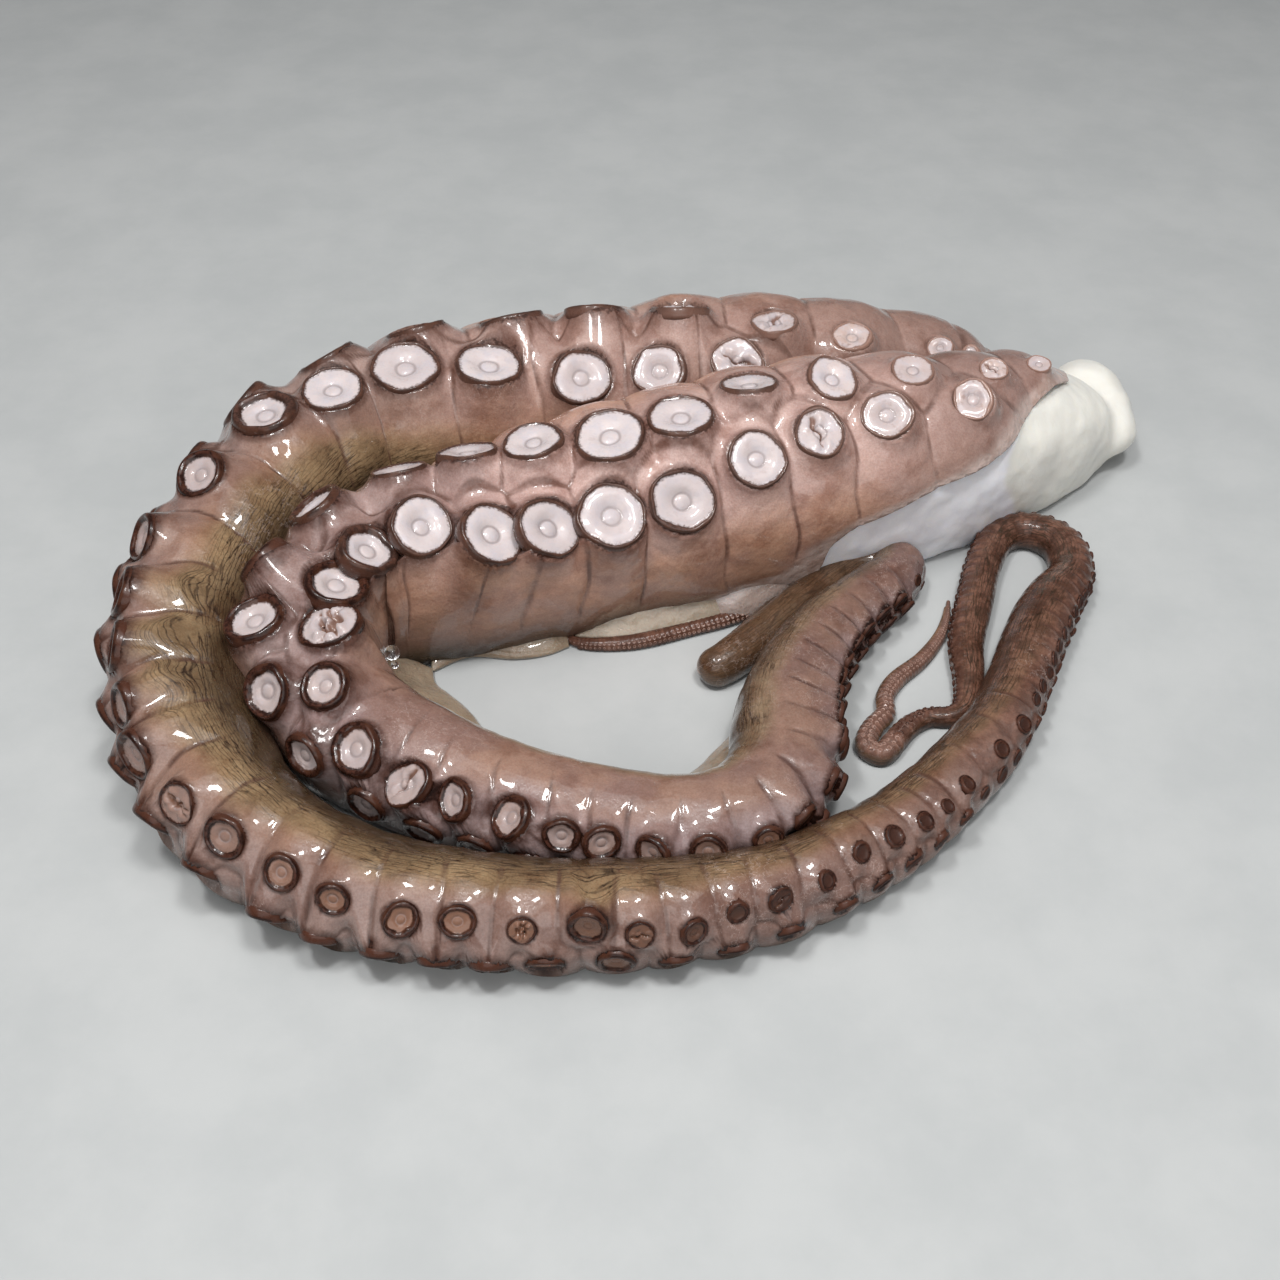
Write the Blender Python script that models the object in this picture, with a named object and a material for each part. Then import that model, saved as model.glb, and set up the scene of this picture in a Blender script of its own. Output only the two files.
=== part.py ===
"""A pair of raw octopus arms, joined at the cut base and coiled on a flat surface.

The outer arm runs round the back, the left and the front of the coil, and the inner arm lies
inside it. Each arm is a round tube that sags on the surface and thins towards its tip, with
two rows of suckers on the side that faces up and out. The arms, their suckers, the skin webs
and the cut flesh are one solid, because the real thing is one piece.

The tables are in millimetres: x to the right, y to the back, z up.
"""
import math

import bmesh
import bpy
import numpy as np
from mathutils import Matrix, Vector

MM = 0.001

# --- Driving dimensions, millimetres ---------------------------------------------------------

# The middle of the coil, in the tables' x and y. It becomes the origin.
MIDDLE = (8.0, 4.6)

# Stations along an arm: x, y, half the width, and the way the suckers face, in degrees from
# straight up towards the outside of the coil.
OUTER_ARM = (
    (108, 97, 8.8, -30), (93, 94, 14.5, -38), (75, 93, 18.1, -42), (51, 87, 21.5, -41),
    (22, 82, 23.0, -32), (-6, 77, 22.5, -23), (-33, 72, 21.8, -13), (-57, 65, 21.8, -6),
    (-79, 54, 20.4, 6), (-94, 32, 19.3, 34), (-103, 6, 17.5, 47), (-105, -20, 16.8, 58),
    (-99, -42, 15.0, 72), (-88, -61, 13.4, 71), (-74, -74, 12.2, 69), (-58, -82, 11.3, 74),
    (-41, -86, 10.8, 75), (-22, -88, 10.4, 76), (-4, -88, 10.1, 77), (12, -86, 9.7, 75),
    (29, -81.5, 9.1, 65), (44, -73.5, 8.7, 57), (57, -64, 8.3, 56), (70, -51, 8.1, 55),
    (81, -37, 7.6, 52), (89, -22, 7.1, 55), (96, -6, 7.2, 58), (103, 7, 6.8, 60),
    (110.5, 19, 5.5, 68), (111, 31.5, 5.0, 75), (104, 38, 4.5, 80), (95.5, 36, 4.3, 81),
    (90, 26, 4.3, 82), (85, 11, 4.3, 83), (80.5, -4, 4.1, 84), (79, -17, 3.3, 84),
    (77, -25, 2.6, 80), (73, -28, 2.2, 60), (68, -28, 2.1, 30), (63, -31, 2.3, 10),
    (59, -36, 2.5, 0),
)
OUTER_TIP = (
    (59, -36, 2.5, 0), (55.5, -40.5, 2.6, 0), (52, -37.5, 2.5, 0), (54.5, -31.5, 2.3, 0),
    (58, -27, 2.1, 10), (58.5, -21.5, 2.0, 20), (62, -15.5, 1.9, 30), (69, -8.5, 1.6, 30),
    (74.5, -0.5, 1.3, 30), (77.5, 7, 0.9, 30), (79, 13.5, 0.5, 30),
)
INNER_ARM = (
    (131, 77, 9.0, -20), (125, 75, 13.0, -20), (112, 70, 17.8, -19), (93, 60, 21.4, -18),
    (69, 49, 24.2, -18), (41, 40, 25.9, -19), (15, 32, 25.5, -26), (-10, 25, 24.4, -31),
    (-32, 16, 22.2, -21), (-50, 10, 20.3, -9), (-66, 4, 19.1, -6), (-75.5, -6, 18.0, -3),
    (-76.5, -20, 17.0, 2), (-71, -33.5, 15.7, 22), (-59, -45, 14.2, 51), (-43, -54, 12.9, 69),
    (-26, -61, 11.9, 72), (-9, -65.5, 11.3, 80), (8, -67.5, 11.1, 82), (22.5, -63.5, 11.4, 80),
    (31, -51.5, 11.5, 60), (32.5, -36, 11.2, 53), (37, -21, 9.9, 62), (45, -6, 8.8, 65),
    (55, 6, 7.7, 71), (63, 14.5, 7.2, 79), (66, 20.5, 6.9, 82),
)
INNER_RETURN = (
    (64.5, 23.5, 6.2, 88), (54, 21, 5.7, 88), (42, 10, 5.3, 88), (31, -2, 5.2, 88),
    (22, -11, 5.1, 88), (18.5, -13.5, 4.8, 88),
)
INNER_FOLD = (
    (19.5, -11.5, 4.0, 80), (26, -3, 3.4, 80), (34, 7.5, 3.0, 80), (44, 18, 2.8, 80),
    (50, 25, 2.6, 80),
)
INNER_TIP = (
    (51, 27, 2.3, 70), (45.5, 23.5, 2.1, 70), (34.5, 13, 1.9, 70), (23, 6.5, 1.8, 70),
    (12.5, 2.5, 1.8, 70), (0, -2, 1.7, 70), (-10, -3, 1.5, 70), (-16, -2, 1.2, 70),
    (-18.5, 0.5, 0.9, 70),
)
SINK = 0.86         # the centre line's height over the surface, in half-widths

# Large suckers, one list a row: distance along the arm, diameter, and degrees from the middle of
# the oral side.
OUTER_FAR_ROW = (
    (17, 4.9, 11), (26, 6.9, 10), (55, 10.6, 10), (75, 12.3, 11), (99.5, 15.4, 15),
    (121.5, 15.4, 20), (143.5, 16.4, 15), (168, 15.6, 15), (190, 15.2, 15), (209, 14.2, 15),
    (227, 13, 14), (245, 12, 14), (261, 11.4, 12), (276, 11, 10), (290, 10.4, 7), (303, 10.2, 2),
    (316.5, 10.2, -6), (330, 9, -3), (344, 8.2, -4), (354, 7.4, 3), (365, 7.4, 5), (376, 7.5, 7),
    (385.5, 7.6, 13), (396, 7.2, 16), (409, 7.4, 9), (420, 5.8, 12), (431, 5, 12), (442, 4.4, 12),
    (453, 3.8, 10), (462, 3.3, 11), (470, 3, 18),
)
OUTER_NEAR_ROW = (
    (87, 14, 11), (108, 14, 17), (128, 15.5, 22), (152.5, 16.9, 15), (175, 17.2, 14),
    (197, 15.4, 21), (214, 16, 22), (236.5, 12.6, 26), (254.5, 11.9, 13), (271, 12.4, 22),
    (283.5, 11.6, 25), (297, 10.6, 26), (307.5, 10.6, 19), (322, 9.1, 23), (334, 9, 26),
    (346.5, 7.4, 26), (357, 6.7, 23), (369.5, 7.3, 19), (380, 6.9, 24), (392, 5.5, 21),
    (404, 7.6, 26), (413.5, 5.5, 17), (423.5, 5.5, 13), (432, 4.4, 21), (440.5, 5.2, 19),
    (450, 4, 18), (459, 4, 24), (467.5, 4.4, 22), (475.5, 3.9, 17), (482, 3, 14),
    (489.5, 3.8, 17), (503, 3.8, 18), (513, 4, 18),
)
INNER_FAR_ROW = (
    (31, 6.1, 10), (47.5, 7.3, 7), (70.5, 10.6, 12), (92.5, 12.9, 11), (113, 13.7, 22),
    (132, 15.7, 16), (150, 16.9, 18), (167.5, 14.3, 24), (182.5, 13.3, 26), (199, 13.4, 27),
    (217, 14, 25), (230, 12.6, 28), (243, 13.7, 23), (255.5, 12.7, 21), (267, 11, 21),
    (280, 10.2, 22), (292, 9.4, 22), (303, 8.6, 22), (314, 7.8, 22), (325, 7.2, 22),
    (336, 6.8, 22), (347, 6.4, 22), (358, 5.8, 22),
)
INNER_NEAR_ROW = (
    (59, 10.6, 11), (82.5, 12.6, 13), (101, 12.6, 15), (117.5, 14, 17), (136, 15.4, 24),
    (156, 16.1, 22), (171, 14.8, 25), (182.5, 15.2, 27), (197.5, 14.6, 21), (215.5, 13.9, 25),
    (237.5, 14.7, 24), (251.5, 14.6, 34), (264, 11.8, 23), (276, 13.2, 13), (288, 10.9, 17),
    (298, 8.9, 20), (309.5, 9.6, 22), (320, 7.8, 20), (328, 8.1, 22), (337, 7.2, 20),
    (346, 8, 18), (356.5, 6.1, 14), (365, 5.2, 12), (374, 4.4, 10), (383, 4.4, 8), (392, 4.4, 6),
    (402, 4.2, 5), (411, 4, 5), (419, 3.8, 5),
)
SMALL_DIAMETER = 0.47       # of the rows' further suckers, in half-widths of the arm
SMALL_PITCH = 0.90          # and their distance along a row
SMALLEST_DIAMETER = 3.7     # thinner ones are left to the skin's surface
SMALL_SPREAD = 18           # degrees from the middle of the oral side

# Height of the rims from the centre line, in half-widths, at distances along the arm. The outer
# arm's far row is pressed flat where the arm turns round the left of the coil.
EVEN_HEIGHT = ((0, 1.25), (800, 1.25))
PRESSED_HEIGHT = ((0, 1.25), (215, 1.25), (232, 1.08), (298, 1.08), (312, 1.25), (800, 1.25))
STEM_ROOT = 0.70            # where its stem starts
STEM_FLARE = 1.50           # radius of the stem's root, in rim radii
RIM_WIDTH = 0.20            # of the rim round the hollow, in rim radii
CUP_WIDTH = 0.35            # of the hollow's slope
CUP_DEPTH = 0.28            # of the hollow
CUPPED_DIAMETER = 9.4       # smaller suckers have flat tops

# The skin web at the inner arm's foot: x, y and half-width along flat strips.
WEB_STRIPS = (
    ((-55, -6, 7), (-38, -4, 10), (-22, 2, 9), (-5, 4, 8), (10, 10, 8), (22, 17, 9), (40, 25, 8)),
    ((-56, -22, 6), (-50, -17, 9), (-42, -12, 6)),
    ((6, -49, 6), (16, -48, 9), (22, -42, 5)),
)
WEB_THICKNESS = 0.16        # of a strip, in its width

# Lobes of cut flesh at the base: x, y, z, and half-sizes along x, y and z.
LOBES = ((130, 77, 9.5, 10, 11, 8), (127.5, 88, 11, 11.5, 13.5, 10.5))

RING_SPACING = 0.85         # of a tube's rings, in half-widths
SHORTEST_SPACING = 3.6      # and never less than this
CUT_DEPTH = 40.0            # of the block that trims the underside flat

FLESH = (0.42, 0.25, 0.21)
FLESH_ROUGHNESS = 0.28


def route(stations, spacing):
    """Points of the smooth curve through the stations, `spacing(half_width)` apart."""
    points = [Vector(station) for station in stations]
    ends = [2 * points[0] - points[1], *points, 2 * points[-1] - points[-2]]
    fine = []
    for before, start, end, after in zip(ends, ends[1:], ends[2:], ends[3:]):
        for step in range(24):
            t = step / 24
            bend = 2 * before - 5 * start + 4 * end - after
            twist = 3 * start - before - 3 * end + after
            fine.append(start + 0.5 * ((end - before) * t + bend * t ** 2 + twist * t ** 3))
    fine.append(points[-1])
    kept = [(0.0, fine[0])]
    travelled = 0.0
    for last, point in zip(fine, fine[1:]):
        travelled += (point.xy - last.xy).length
        if travelled - kept[-1][0] >= spacing(point[2]):
            kept.append((travelled, point))
    if travelled - kept[-1][0] < 0.5 * spacing(points[-1][2]):
        kept.pop()
    kept.append((travelled, points[-1]))
    return kept


def with_round_ends(points):
    """The same (x, y, radius) points, with ends that narrow like a ball."""
    result = list(points)
    for end, inner in ((0, 1), (-1, -2)):
        x, y, radius = points[end]
        outward = (Vector((x, y)) - Vector(points[inner][:2])).normalized()
        for angle in (math.radians(40), math.radians(75)):
            place = Vector((x, y)) + outward * radius * math.sin(angle)
            rounded = (place.x, place.y, radius * math.cos(angle))
            if end == 0:
                result.insert(0, rounded)
            else:
                result.append(rounded)
    return result


def tube(name, points, collection, flatness=1.0, bevel_resolution=3):
    """A tube through (x, y, radius) points that lies on the surface."""
    curve = bpy.data.curves.new(name, "CURVE")
    curve.dimensions = "3D"
    curve.twist_mode = "Z_UP"
    curve.bevel_depth = MM
    curve.bevel_resolution = bevel_resolution
    curve.use_fill_caps = True
    spline = curve.splines.new("POLY")
    rounded = with_round_ends(points)
    spline.points.add(len(rounded) - 1)
    end_heights = (points[0][2] * SINK, points[-1][2] * SINK)
    for index, (target, (x, y, radius)) in enumerate(zip(spline.points, rounded)):
        height = radius * SINK
        if index < 2:
            height = end_heights[0]
        if index > len(rounded) - 3:
            height = end_heights[1]
        target.co = ((x - MIDDLE[0]) * MM, (y - MIDDLE[1]) * MM, height * MM, 1.0)
        target.radius = radius
    return closed_mesh(bpy.data.objects.new(name, curve), collection, flatness)


def closed_mesh(curve_object, collection, flatness):
    """The curve object as a mesh whose caps are welded on, squashed towards the surface."""
    bpy.context.scene.collection.objects.link(curve_object)
    evaluated = curve_object.evaluated_get(bpy.context.evaluated_depsgraph_get())
    mesh = bpy.data.meshes.new_from_object(evaluated)
    mesh.transform(Matrix.Diagonal((1.0, 1.0, flatness, 1.0)))
    welded = bmesh.new()
    welded.from_mesh(mesh)
    bmesh.ops.remove_doubles(welded, verts=welded.verts, dist=0.01 * MM)
    bmesh.ops.recalc_face_normals(welded, faces=welded.faces)
    welded.to_mesh(mesh)
    welded.free()
    bpy.data.objects.remove(curve_object)
    result = bpy.data.objects.new(mesh.name, mesh)
    collection.objects.link(result)
    return result


def tube_spacing(half_width):
    return max(SHORTEST_SPACING, RING_SPACING * half_width)


def arm_tube(name, stations, collection, bevel_resolution=3):
    points = [tuple(point[:3]) for _, point in route(stations, tube_spacing)]
    return tube(name, points, collection, bevel_resolution=bevel_resolution)


def small_suckers(line, start):
    """A row's further suckers past `start`, down to the smallest."""
    distances = [distance for distance, _ in line]
    half_widths = [point[2] for _, point in line]
    result = []
    distance = start
    while distance < distances[-1]:
        half_width = float(np.interp(distance, distances, half_widths))
        diameter = SMALL_DIAMETER * half_width
        if diameter < SMALLEST_DIAMETER:
            break
        result.append((distance, diameter, SMALL_SPREAD))
        distance += SMALL_PITCH * half_width
    return result


def place_at(line, distance):
    """The route's x, y, half-width and facing at a distance."""
    distances = [travelled for travelled, _ in line]
    return [
        float(np.interp(distance, distances, [point[axis] for _, point in line]))
        for axis in range(4)
    ]


def sucker(name, line, distance, diameter, tilt, heights, collection):
    """A sucker on its stem, `tilt` degrees outwards from the middle of the oral side."""
    x, y, half_width, facing = place_at(line, distance)
    ahead = place_at(line, distance + 1.0)
    behind = place_at(line, distance - 1.0)
    travel = (Vector(ahead[:2]) - Vector(behind[:2])).normalized()
    outside = Vector((travel.y, -travel.x, 0.0))
    angle = math.radians(facing + tilt)
    up = outside * math.sin(angle) + Vector((0.0, 0.0, math.cos(angle)))
    centre = Vector((x - MIDDLE[0], y - MIDDLE[1], SINK * half_width))
    rim_height = float(np.interp(distance, *zip(*heights)))
    rim = centre + up * rim_height * half_width
    if rim.z < 0.5 * diameter * math.sqrt(max(0.0, 1.0 - up.z ** 2)):
        return None
    height = (rim_height - STEM_ROOT) * half_width
    radius = diameter / 2
    cupped = diameter >= CUPPED_DIAMETER
    shape = bmesh.new()
    bmesh.ops.create_cone(
        shape, cap_ends=True, segments=8 if cupped else 6, radius1=STEM_FLARE * radius * MM,
        radius2=radius * MM, depth=height * MM,
    )
    if cupped:
        top = max(shape.faces, key=lambda face: face.calc_center_median().z)
        bmesh.ops.inset_region(shape, faces=[top], thickness=RIM_WIDTH * radius * MM)
        bmesh.ops.inset_region(
            shape, faces=[top], thickness=CUP_WIDTH * radius * MM, depth=-CUP_DEPTH * radius * MM,
        )
    turn = up.to_track_quat("Z", "Y").to_matrix().to_4x4()
    middle = rim - up * height / 2
    shape.transform(Matrix.Translation(middle * MM) @ turn)
    mesh = bpy.data.meshes.new(name)
    shape.to_mesh(mesh)
    shape.free()
    result = bpy.data.objects.new(name, mesh)
    collection.objects.link(result)
    return result


def sucker_rows(name, stations, rows, collection):
    """The suckers of the far row and the near row, each given with its rims' heights."""
    line = route(stations, lambda half_width: 1.0)
    for side, (large, heights) in zip((1, -1), rows):
        last_pitch = large[-1][0] - large[-2][0]
        further = small_suckers(line, large[-1][0] + last_pitch)
        for distance, diameter, spread in [*large, *further]:
            sucker(f"{name}_sucker", line, distance, diameter, side * spread, heights, collection)


def lobe(x, y, z, half_x, half_y, half_z, collection):
    shape = bmesh.new()
    bmesh.ops.create_uvsphere(shape, u_segments=12, v_segments=8, radius=MM)
    shape.transform(
        Matrix.Translation(Vector((x - MIDDLE[0], y - MIDDLE[1], z)) * MM)
        @ Matrix.Diagonal((half_x, half_y, half_z, 1.0))
    )
    mesh = bpy.data.meshes.new("lobe")
    shape.to_mesh(mesh)
    shape.free()
    collection.objects.link(bpy.data.objects.new("lobe", mesh))


def floor_block(collection):
    """The block under the surface, which trims the underside flat."""
    bpy.ops.mesh.primitive_cube_add(size=1.0, location=(0.0, 0.0, -CUT_DEPTH * MM / 2))
    block = bpy.context.object
    block.name = "floor_block"
    block.scale = (0.6, 0.6, CUT_DEPTH * MM)
    block.hide_render = True
    block.display_type = "WIRE"
    for owner in list(block.users_collection):
        owner.objects.unlink(block)
    collection.objects.link(block)
    return block


def flesh_material():
    material = bpy.data.materials.new("flesh")
    material.use_nodes = True
    shader = material.node_tree.nodes["Principled BSDF"]
    shader.inputs["Base Color"].default_value = (*FLESH, 1.0)
    shader.inputs["Roughness"].default_value = FLESH_ROUGHNESS
    shader.inputs["Metallic"].default_value = 0.0
    return material


def joined(first, pieces, block):
    """One solid of the first tube and the pieces, trimmed flat along the surface."""
    union = first.modifiers.new("union", "BOOLEAN")
    union.operation = "UNION"
    union.operand_type = "COLLECTION"
    union.collection = pieces
    union.solver = "MANIFOLD"
    trim = first.modifiers.new("trim", "BOOLEAN")
    trim.operation = "DIFFERENCE"
    trim.object = block
    trim.solver = "MANIFOLD"
    bpy.context.view_layer.update()
    evaluated = first.evaluated_get(bpy.context.evaluated_depsgraph_get())
    mesh = bpy.data.meshes.new_from_object(evaluated)
    for piece in list(pieces.objects):
        bpy.data.objects.remove(piece)
    bpy.data.collections.remove(pieces)
    first.modifiers.clear()
    first.data = mesh
    return first


def build():
    for leftover in list(bpy.data.objects):
        bpy.data.objects.remove(leftover)
    arms = bpy.data.collections.new("octopus_arms")
    pieces = bpy.data.collections.new("pieces")
    cutters = bpy.data.collections.new("cutters")
    for collection in (arms, pieces, cutters):
        bpy.context.scene.collection.children.link(collection)
    body = arm_tube("octopus_arms", INNER_ARM, arms)
    arm_tube("outer_arm", OUTER_ARM, pieces)
    for name, stations in (
        ("outer_tip", OUTER_TIP), ("inner_return", INNER_RETURN), ("inner_fold", INNER_FOLD),
        ("inner_tip", INNER_TIP),
    ):
        arm_tube(name, stations, pieces, bevel_resolution=2)
    outer_rows = ((OUTER_FAR_ROW, PRESSED_HEIGHT), (OUTER_NEAR_ROW, EVEN_HEIGHT))
    inner_rows = ((INNER_FAR_ROW, EVEN_HEIGHT), (INNER_NEAR_ROW, EVEN_HEIGHT))
    sucker_rows("outer", OUTER_ARM, outer_rows, pieces)
    sucker_rows("inner", INNER_ARM, inner_rows, pieces)
    for strip in WEB_STRIPS:
        tube("web", list(strip), pieces, flatness=WEB_THICKNESS, bevel_resolution=2)
    for numbers in LOBES:
        lobe(*numbers, pieces)
    block = floor_block(cutters)
    joined(body, pieces, block)
    bpy.data.objects.remove(block)
    body.data.materials.clear()
    body.data.materials.append(flesh_material())


build()
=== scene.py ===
"""The looks of a pair of raw octopus arms, joined at the cut base and coiled on a pale surface.

Each arm is a skin lofted along its route, raised round every sucker and creased between them.
The suckers' discs are set on it by Geometry Nodes. The white flesh at the cut base, the thin
webs of skin and the water on them are pieces of their own.

The tables are in millimetres: x to the right, y to the back, z up.
"""

import math
import random
from typing import NamedTuple

import bmesh
import bpy
import numpy as np
from mathutils import Matrix, Vector, noise


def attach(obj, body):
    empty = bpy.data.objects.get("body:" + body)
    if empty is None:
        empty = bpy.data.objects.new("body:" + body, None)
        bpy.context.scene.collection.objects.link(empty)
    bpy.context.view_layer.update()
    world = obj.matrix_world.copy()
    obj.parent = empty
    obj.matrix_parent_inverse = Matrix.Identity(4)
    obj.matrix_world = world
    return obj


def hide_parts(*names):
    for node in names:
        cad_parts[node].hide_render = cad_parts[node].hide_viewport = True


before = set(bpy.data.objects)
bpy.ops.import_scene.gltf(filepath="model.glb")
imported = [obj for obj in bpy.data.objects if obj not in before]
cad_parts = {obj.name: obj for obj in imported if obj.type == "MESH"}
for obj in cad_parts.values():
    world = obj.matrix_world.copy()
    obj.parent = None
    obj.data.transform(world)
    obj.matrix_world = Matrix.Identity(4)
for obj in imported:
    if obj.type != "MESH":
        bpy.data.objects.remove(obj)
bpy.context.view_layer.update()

MM = 0.001
NODE = "octopus_arms"
BODY = "root"

# --- The arms' routes ------------------------------------------------------------------------

MIDDLE = (8.0, 4.6)     # the coil's middle in the tables, which is the origin

# Stations: x, y, half the width, and the way the suckers face, in degrees from straight up
# towards the outside of the coil. The places and widths are those of the solids.
OUTER_ARM = (
    (108, 97, 8.8, -30), (93, 94, 14.5, -38), (75, 93, 18.1, -42), (51, 87, 21.5, -41),
    (22, 82, 23.0, -32), (-6, 77, 22.5, -23), (-33, 72, 21.8, -13), (-57, 65, 21.8, -6),
    (-79, 54, 20.4, 6), (-94, 32, 19.3, 34), (-103, 6, 17.5, 47), (-105, -20, 16.8, 58),
    (-99, -42, 15.0, 72), (-88, -61, 13.4, 71), (-74, -74, 12.2, 69), (-58, -82, 11.3, 74),
    (-41, -86, 10.8, 75), (-22, -88, 10.4, 76), (-4, -88, 10.1, 77), (12, -86, 9.7, 75),
    (29, -81.5, 9.1, 65), (44, -73.5, 8.7, 57), (57, -64, 8.3, 56), (70, -51, 8.1, 55),
    (81, -37, 7.6, 62), (89, -22, 7.1, 72), (96, -6, 7.2, 80), (103, 7, 6.8, 84),
    (110.5, 19, 5.5, 86), (111, 31.5, 5.0, 86), (104, 38, 4.5, 80), (95.5, 36, 4.3, 81),
    (90, 26, 4.3, 82), (85, 11, 4.3, 83), (80.5, -4, 4.1, 84), (79, -17, 3.3, 84),
    (77, -25, 2.6, 80), (73, -28, 2.2, 60), (68, -28, 2.1, 30), (63, -31, 2.3, 10),
    (59, -36, 2.5, 0),
)
OUTER_TIP = (
    (59, -36, 2.5, 0), (55.5, -40.5, 2.6, 0), (52, -37.5, 2.5, 0), (54.5, -31.5, 2.3, 0),
    (58, -27, 2.1, 10), (58.5, -21.5, 2.0, 20), (62, -15.5, 1.9, 30), (69, -8.5, 1.6, 30),
    (74.5, -0.5, 1.3, 30), (77.5, 7, 0.9, 30), (79, 13.5, 0.5, 30),
)
INNER_ARM = (
    (131, 77, 9.0, -20), (125, 75, 13.0, -20), (112, 70, 17.8, -19), (93, 60, 21.4, -18),
    (69, 49, 24.2, -18), (41, 40, 25.9, -19), (15, 32, 25.5, -26), (-10, 25, 24.4, -31),
    (-32, 16, 22.2, -21), (-50, 10, 20.3, -9), (-66, 4, 19.1, -6), (-75.5, -6, 18.0, -3),
    (-76.5, -20, 17.0, 2), (-71, -33.5, 15.7, 22), (-59, -45, 14.2, 51), (-43, -54, 12.9, 69),
    (-26, -61, 11.9, 72), (-9, -65.5, 11.3, 80), (8, -67.5, 11.1, 82), (22.5, -63.5, 11.4, 80),
    (31, -51.5, 11.5, 80), (32.5, -36, 11.2, 82), (37, -21, 9.9, 85), (45, -6, 8.8, 85),
    (55, 6, 7.7, 85), (63, 14.5, 7.2, 85), (66, 20.5, 6.9, 85),
)
INNER_RETURN = (
    (64.5, 23.5, 6.2, 140), (54, 21, 5.7, 150), (42, 10, 5.3, 150), (31, -2, 5.2, 150),
    (22, -11, 5.1, 150), (18.5, -13.5, 4.8, 150),
)
INNER_FOLD = (
    (19.5, -11.5, 4.0, 80), (26, -3, 3.4, 80), (34, 7.5, 3.0, 80), (44, 18, 2.8, 80),
    (50, 25, 2.6, 80),
)
INNER_TIP = (
    (51, 27, 2.3, -62), (45.5, 23.5, 2.1, -62), (34.5, 13, 1.9, -62), (23, 6.5, 1.8, -62),
    (12.5, 2.5, 1.8, -62), (0, -2, 1.7, -62), (-10, -3, 1.5, -62), (-16, -2, 1.2, -62),
    (-18.5, 0.5, 0.9, -62),
)
SINK = 0.86             # the centre line's height over the surface, in half-widths

# Large suckers, one list a row: distance along the arm, diameter, degrees from the middle of the
# oral side, and the disc's lean in degrees, to the outside of the coil and along the arm.
OUTER_FAR_ROW = (
    (17, 4.9, 11, 5, 12), (26, 6.9, 10, 4, 10), (55, 10.6, 12, 19, 3), (75, 12.3, 17, 24, 0),
    (99.5, 15.4, 25, 34, -5), (121.5, 15.4, 30, 30, -4), (143.5, 16.2, 26, 26, 5),
    (168, 15.4, 22, 19, 4), (190, 15.0, 18, 15, 10), (209, 14.2, 17, 14, 10),
    (227, 13, 14, 16, 8), (245, 12, 14, 20, 8), (261, 11.4, 14, 24, 5), (276, 11, 14, 26, 5),
    (290, 10.4, 14, 28, 8), (303, 10.2, 15, 32, 12), (316.5, 10.2, 14, 34, 14),
    (330, 9, 17, 36, 10), (344, 8.8, 24, 36, 8), (354, 8.4, 26, 36, 5),
    (365, 8.4, 26, 36, 5), (376, 8.4, 26, 36, 4),
    (385.5, 8.2, 26, 32, 2), (396, 7.6, 20, 18, 3), (409, 7.6, 16, 8, -6), (420, 6.6, 24, 28, 0),
    (431, 6.2, 26, 30, 0), (442, 5.8, 26, 30, 0), (453, 5.4, 26, 30, 0), (462, 5.0, 24, 28, 5),
    (470, 4.6, 22, 28, 0), (478, 4.2, 22, 28, 0), (486, 4.0, 22, 28, 0),
)
OUTER_NEAR_ROW = (
    (87, 14, 11, 10, 5), (108, 14, 17, 6, 7), (128, 15.5, 22, 9, -11), (152.5, 16.9, 15, 22, -9),
    (175, 17.2, 14, 7, 2), (197, 15.4, 21, 7, 7), (214, 16, 22, -1, 9), (236.5, 12.6, 26, -6, 26),
    (254.5, 11.9, 13, 15, 23), (271, 12.4, 22, 27, 3), (283.5, 11.6, 25, 29, -3),
    (297, 10.6, 26, 28, 12), (307.5, 10.6, 19, 24, 21), (322, 9.1, 23, 13, 13),
    (334, 9, 26, 19, 20), (346.5, 7.4, 26, 9, 18), (357, 6.7, 23, 14, 20),
    (369.5, 7.3, 19, -4, 17), (380, 6.9, 24, 2, 12), (392, 5.5, 21, 6, 7), (404, 7.6, 26, 31, -8),
    (413.5, 5.5, 17, 5, -4), (423.5, 5.5, 13, 7, 22), (432, 4.4, 21, 20, 3),
    (440.5, 5.2, 19, 20, 15), (450, 4, 18, 0, 20), (459, 4, 24, 20, 0), (467.5, 4.4, 22, -10, 10),
    (475.5, 3.9, 17, -10, 12), (482, 3, 14, -10, 7), (489.5, 3.8, 17, -15, 15),
    (503, 3.8, 18, 0, 0), (513, 4, 18, 0, 0),
)
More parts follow.
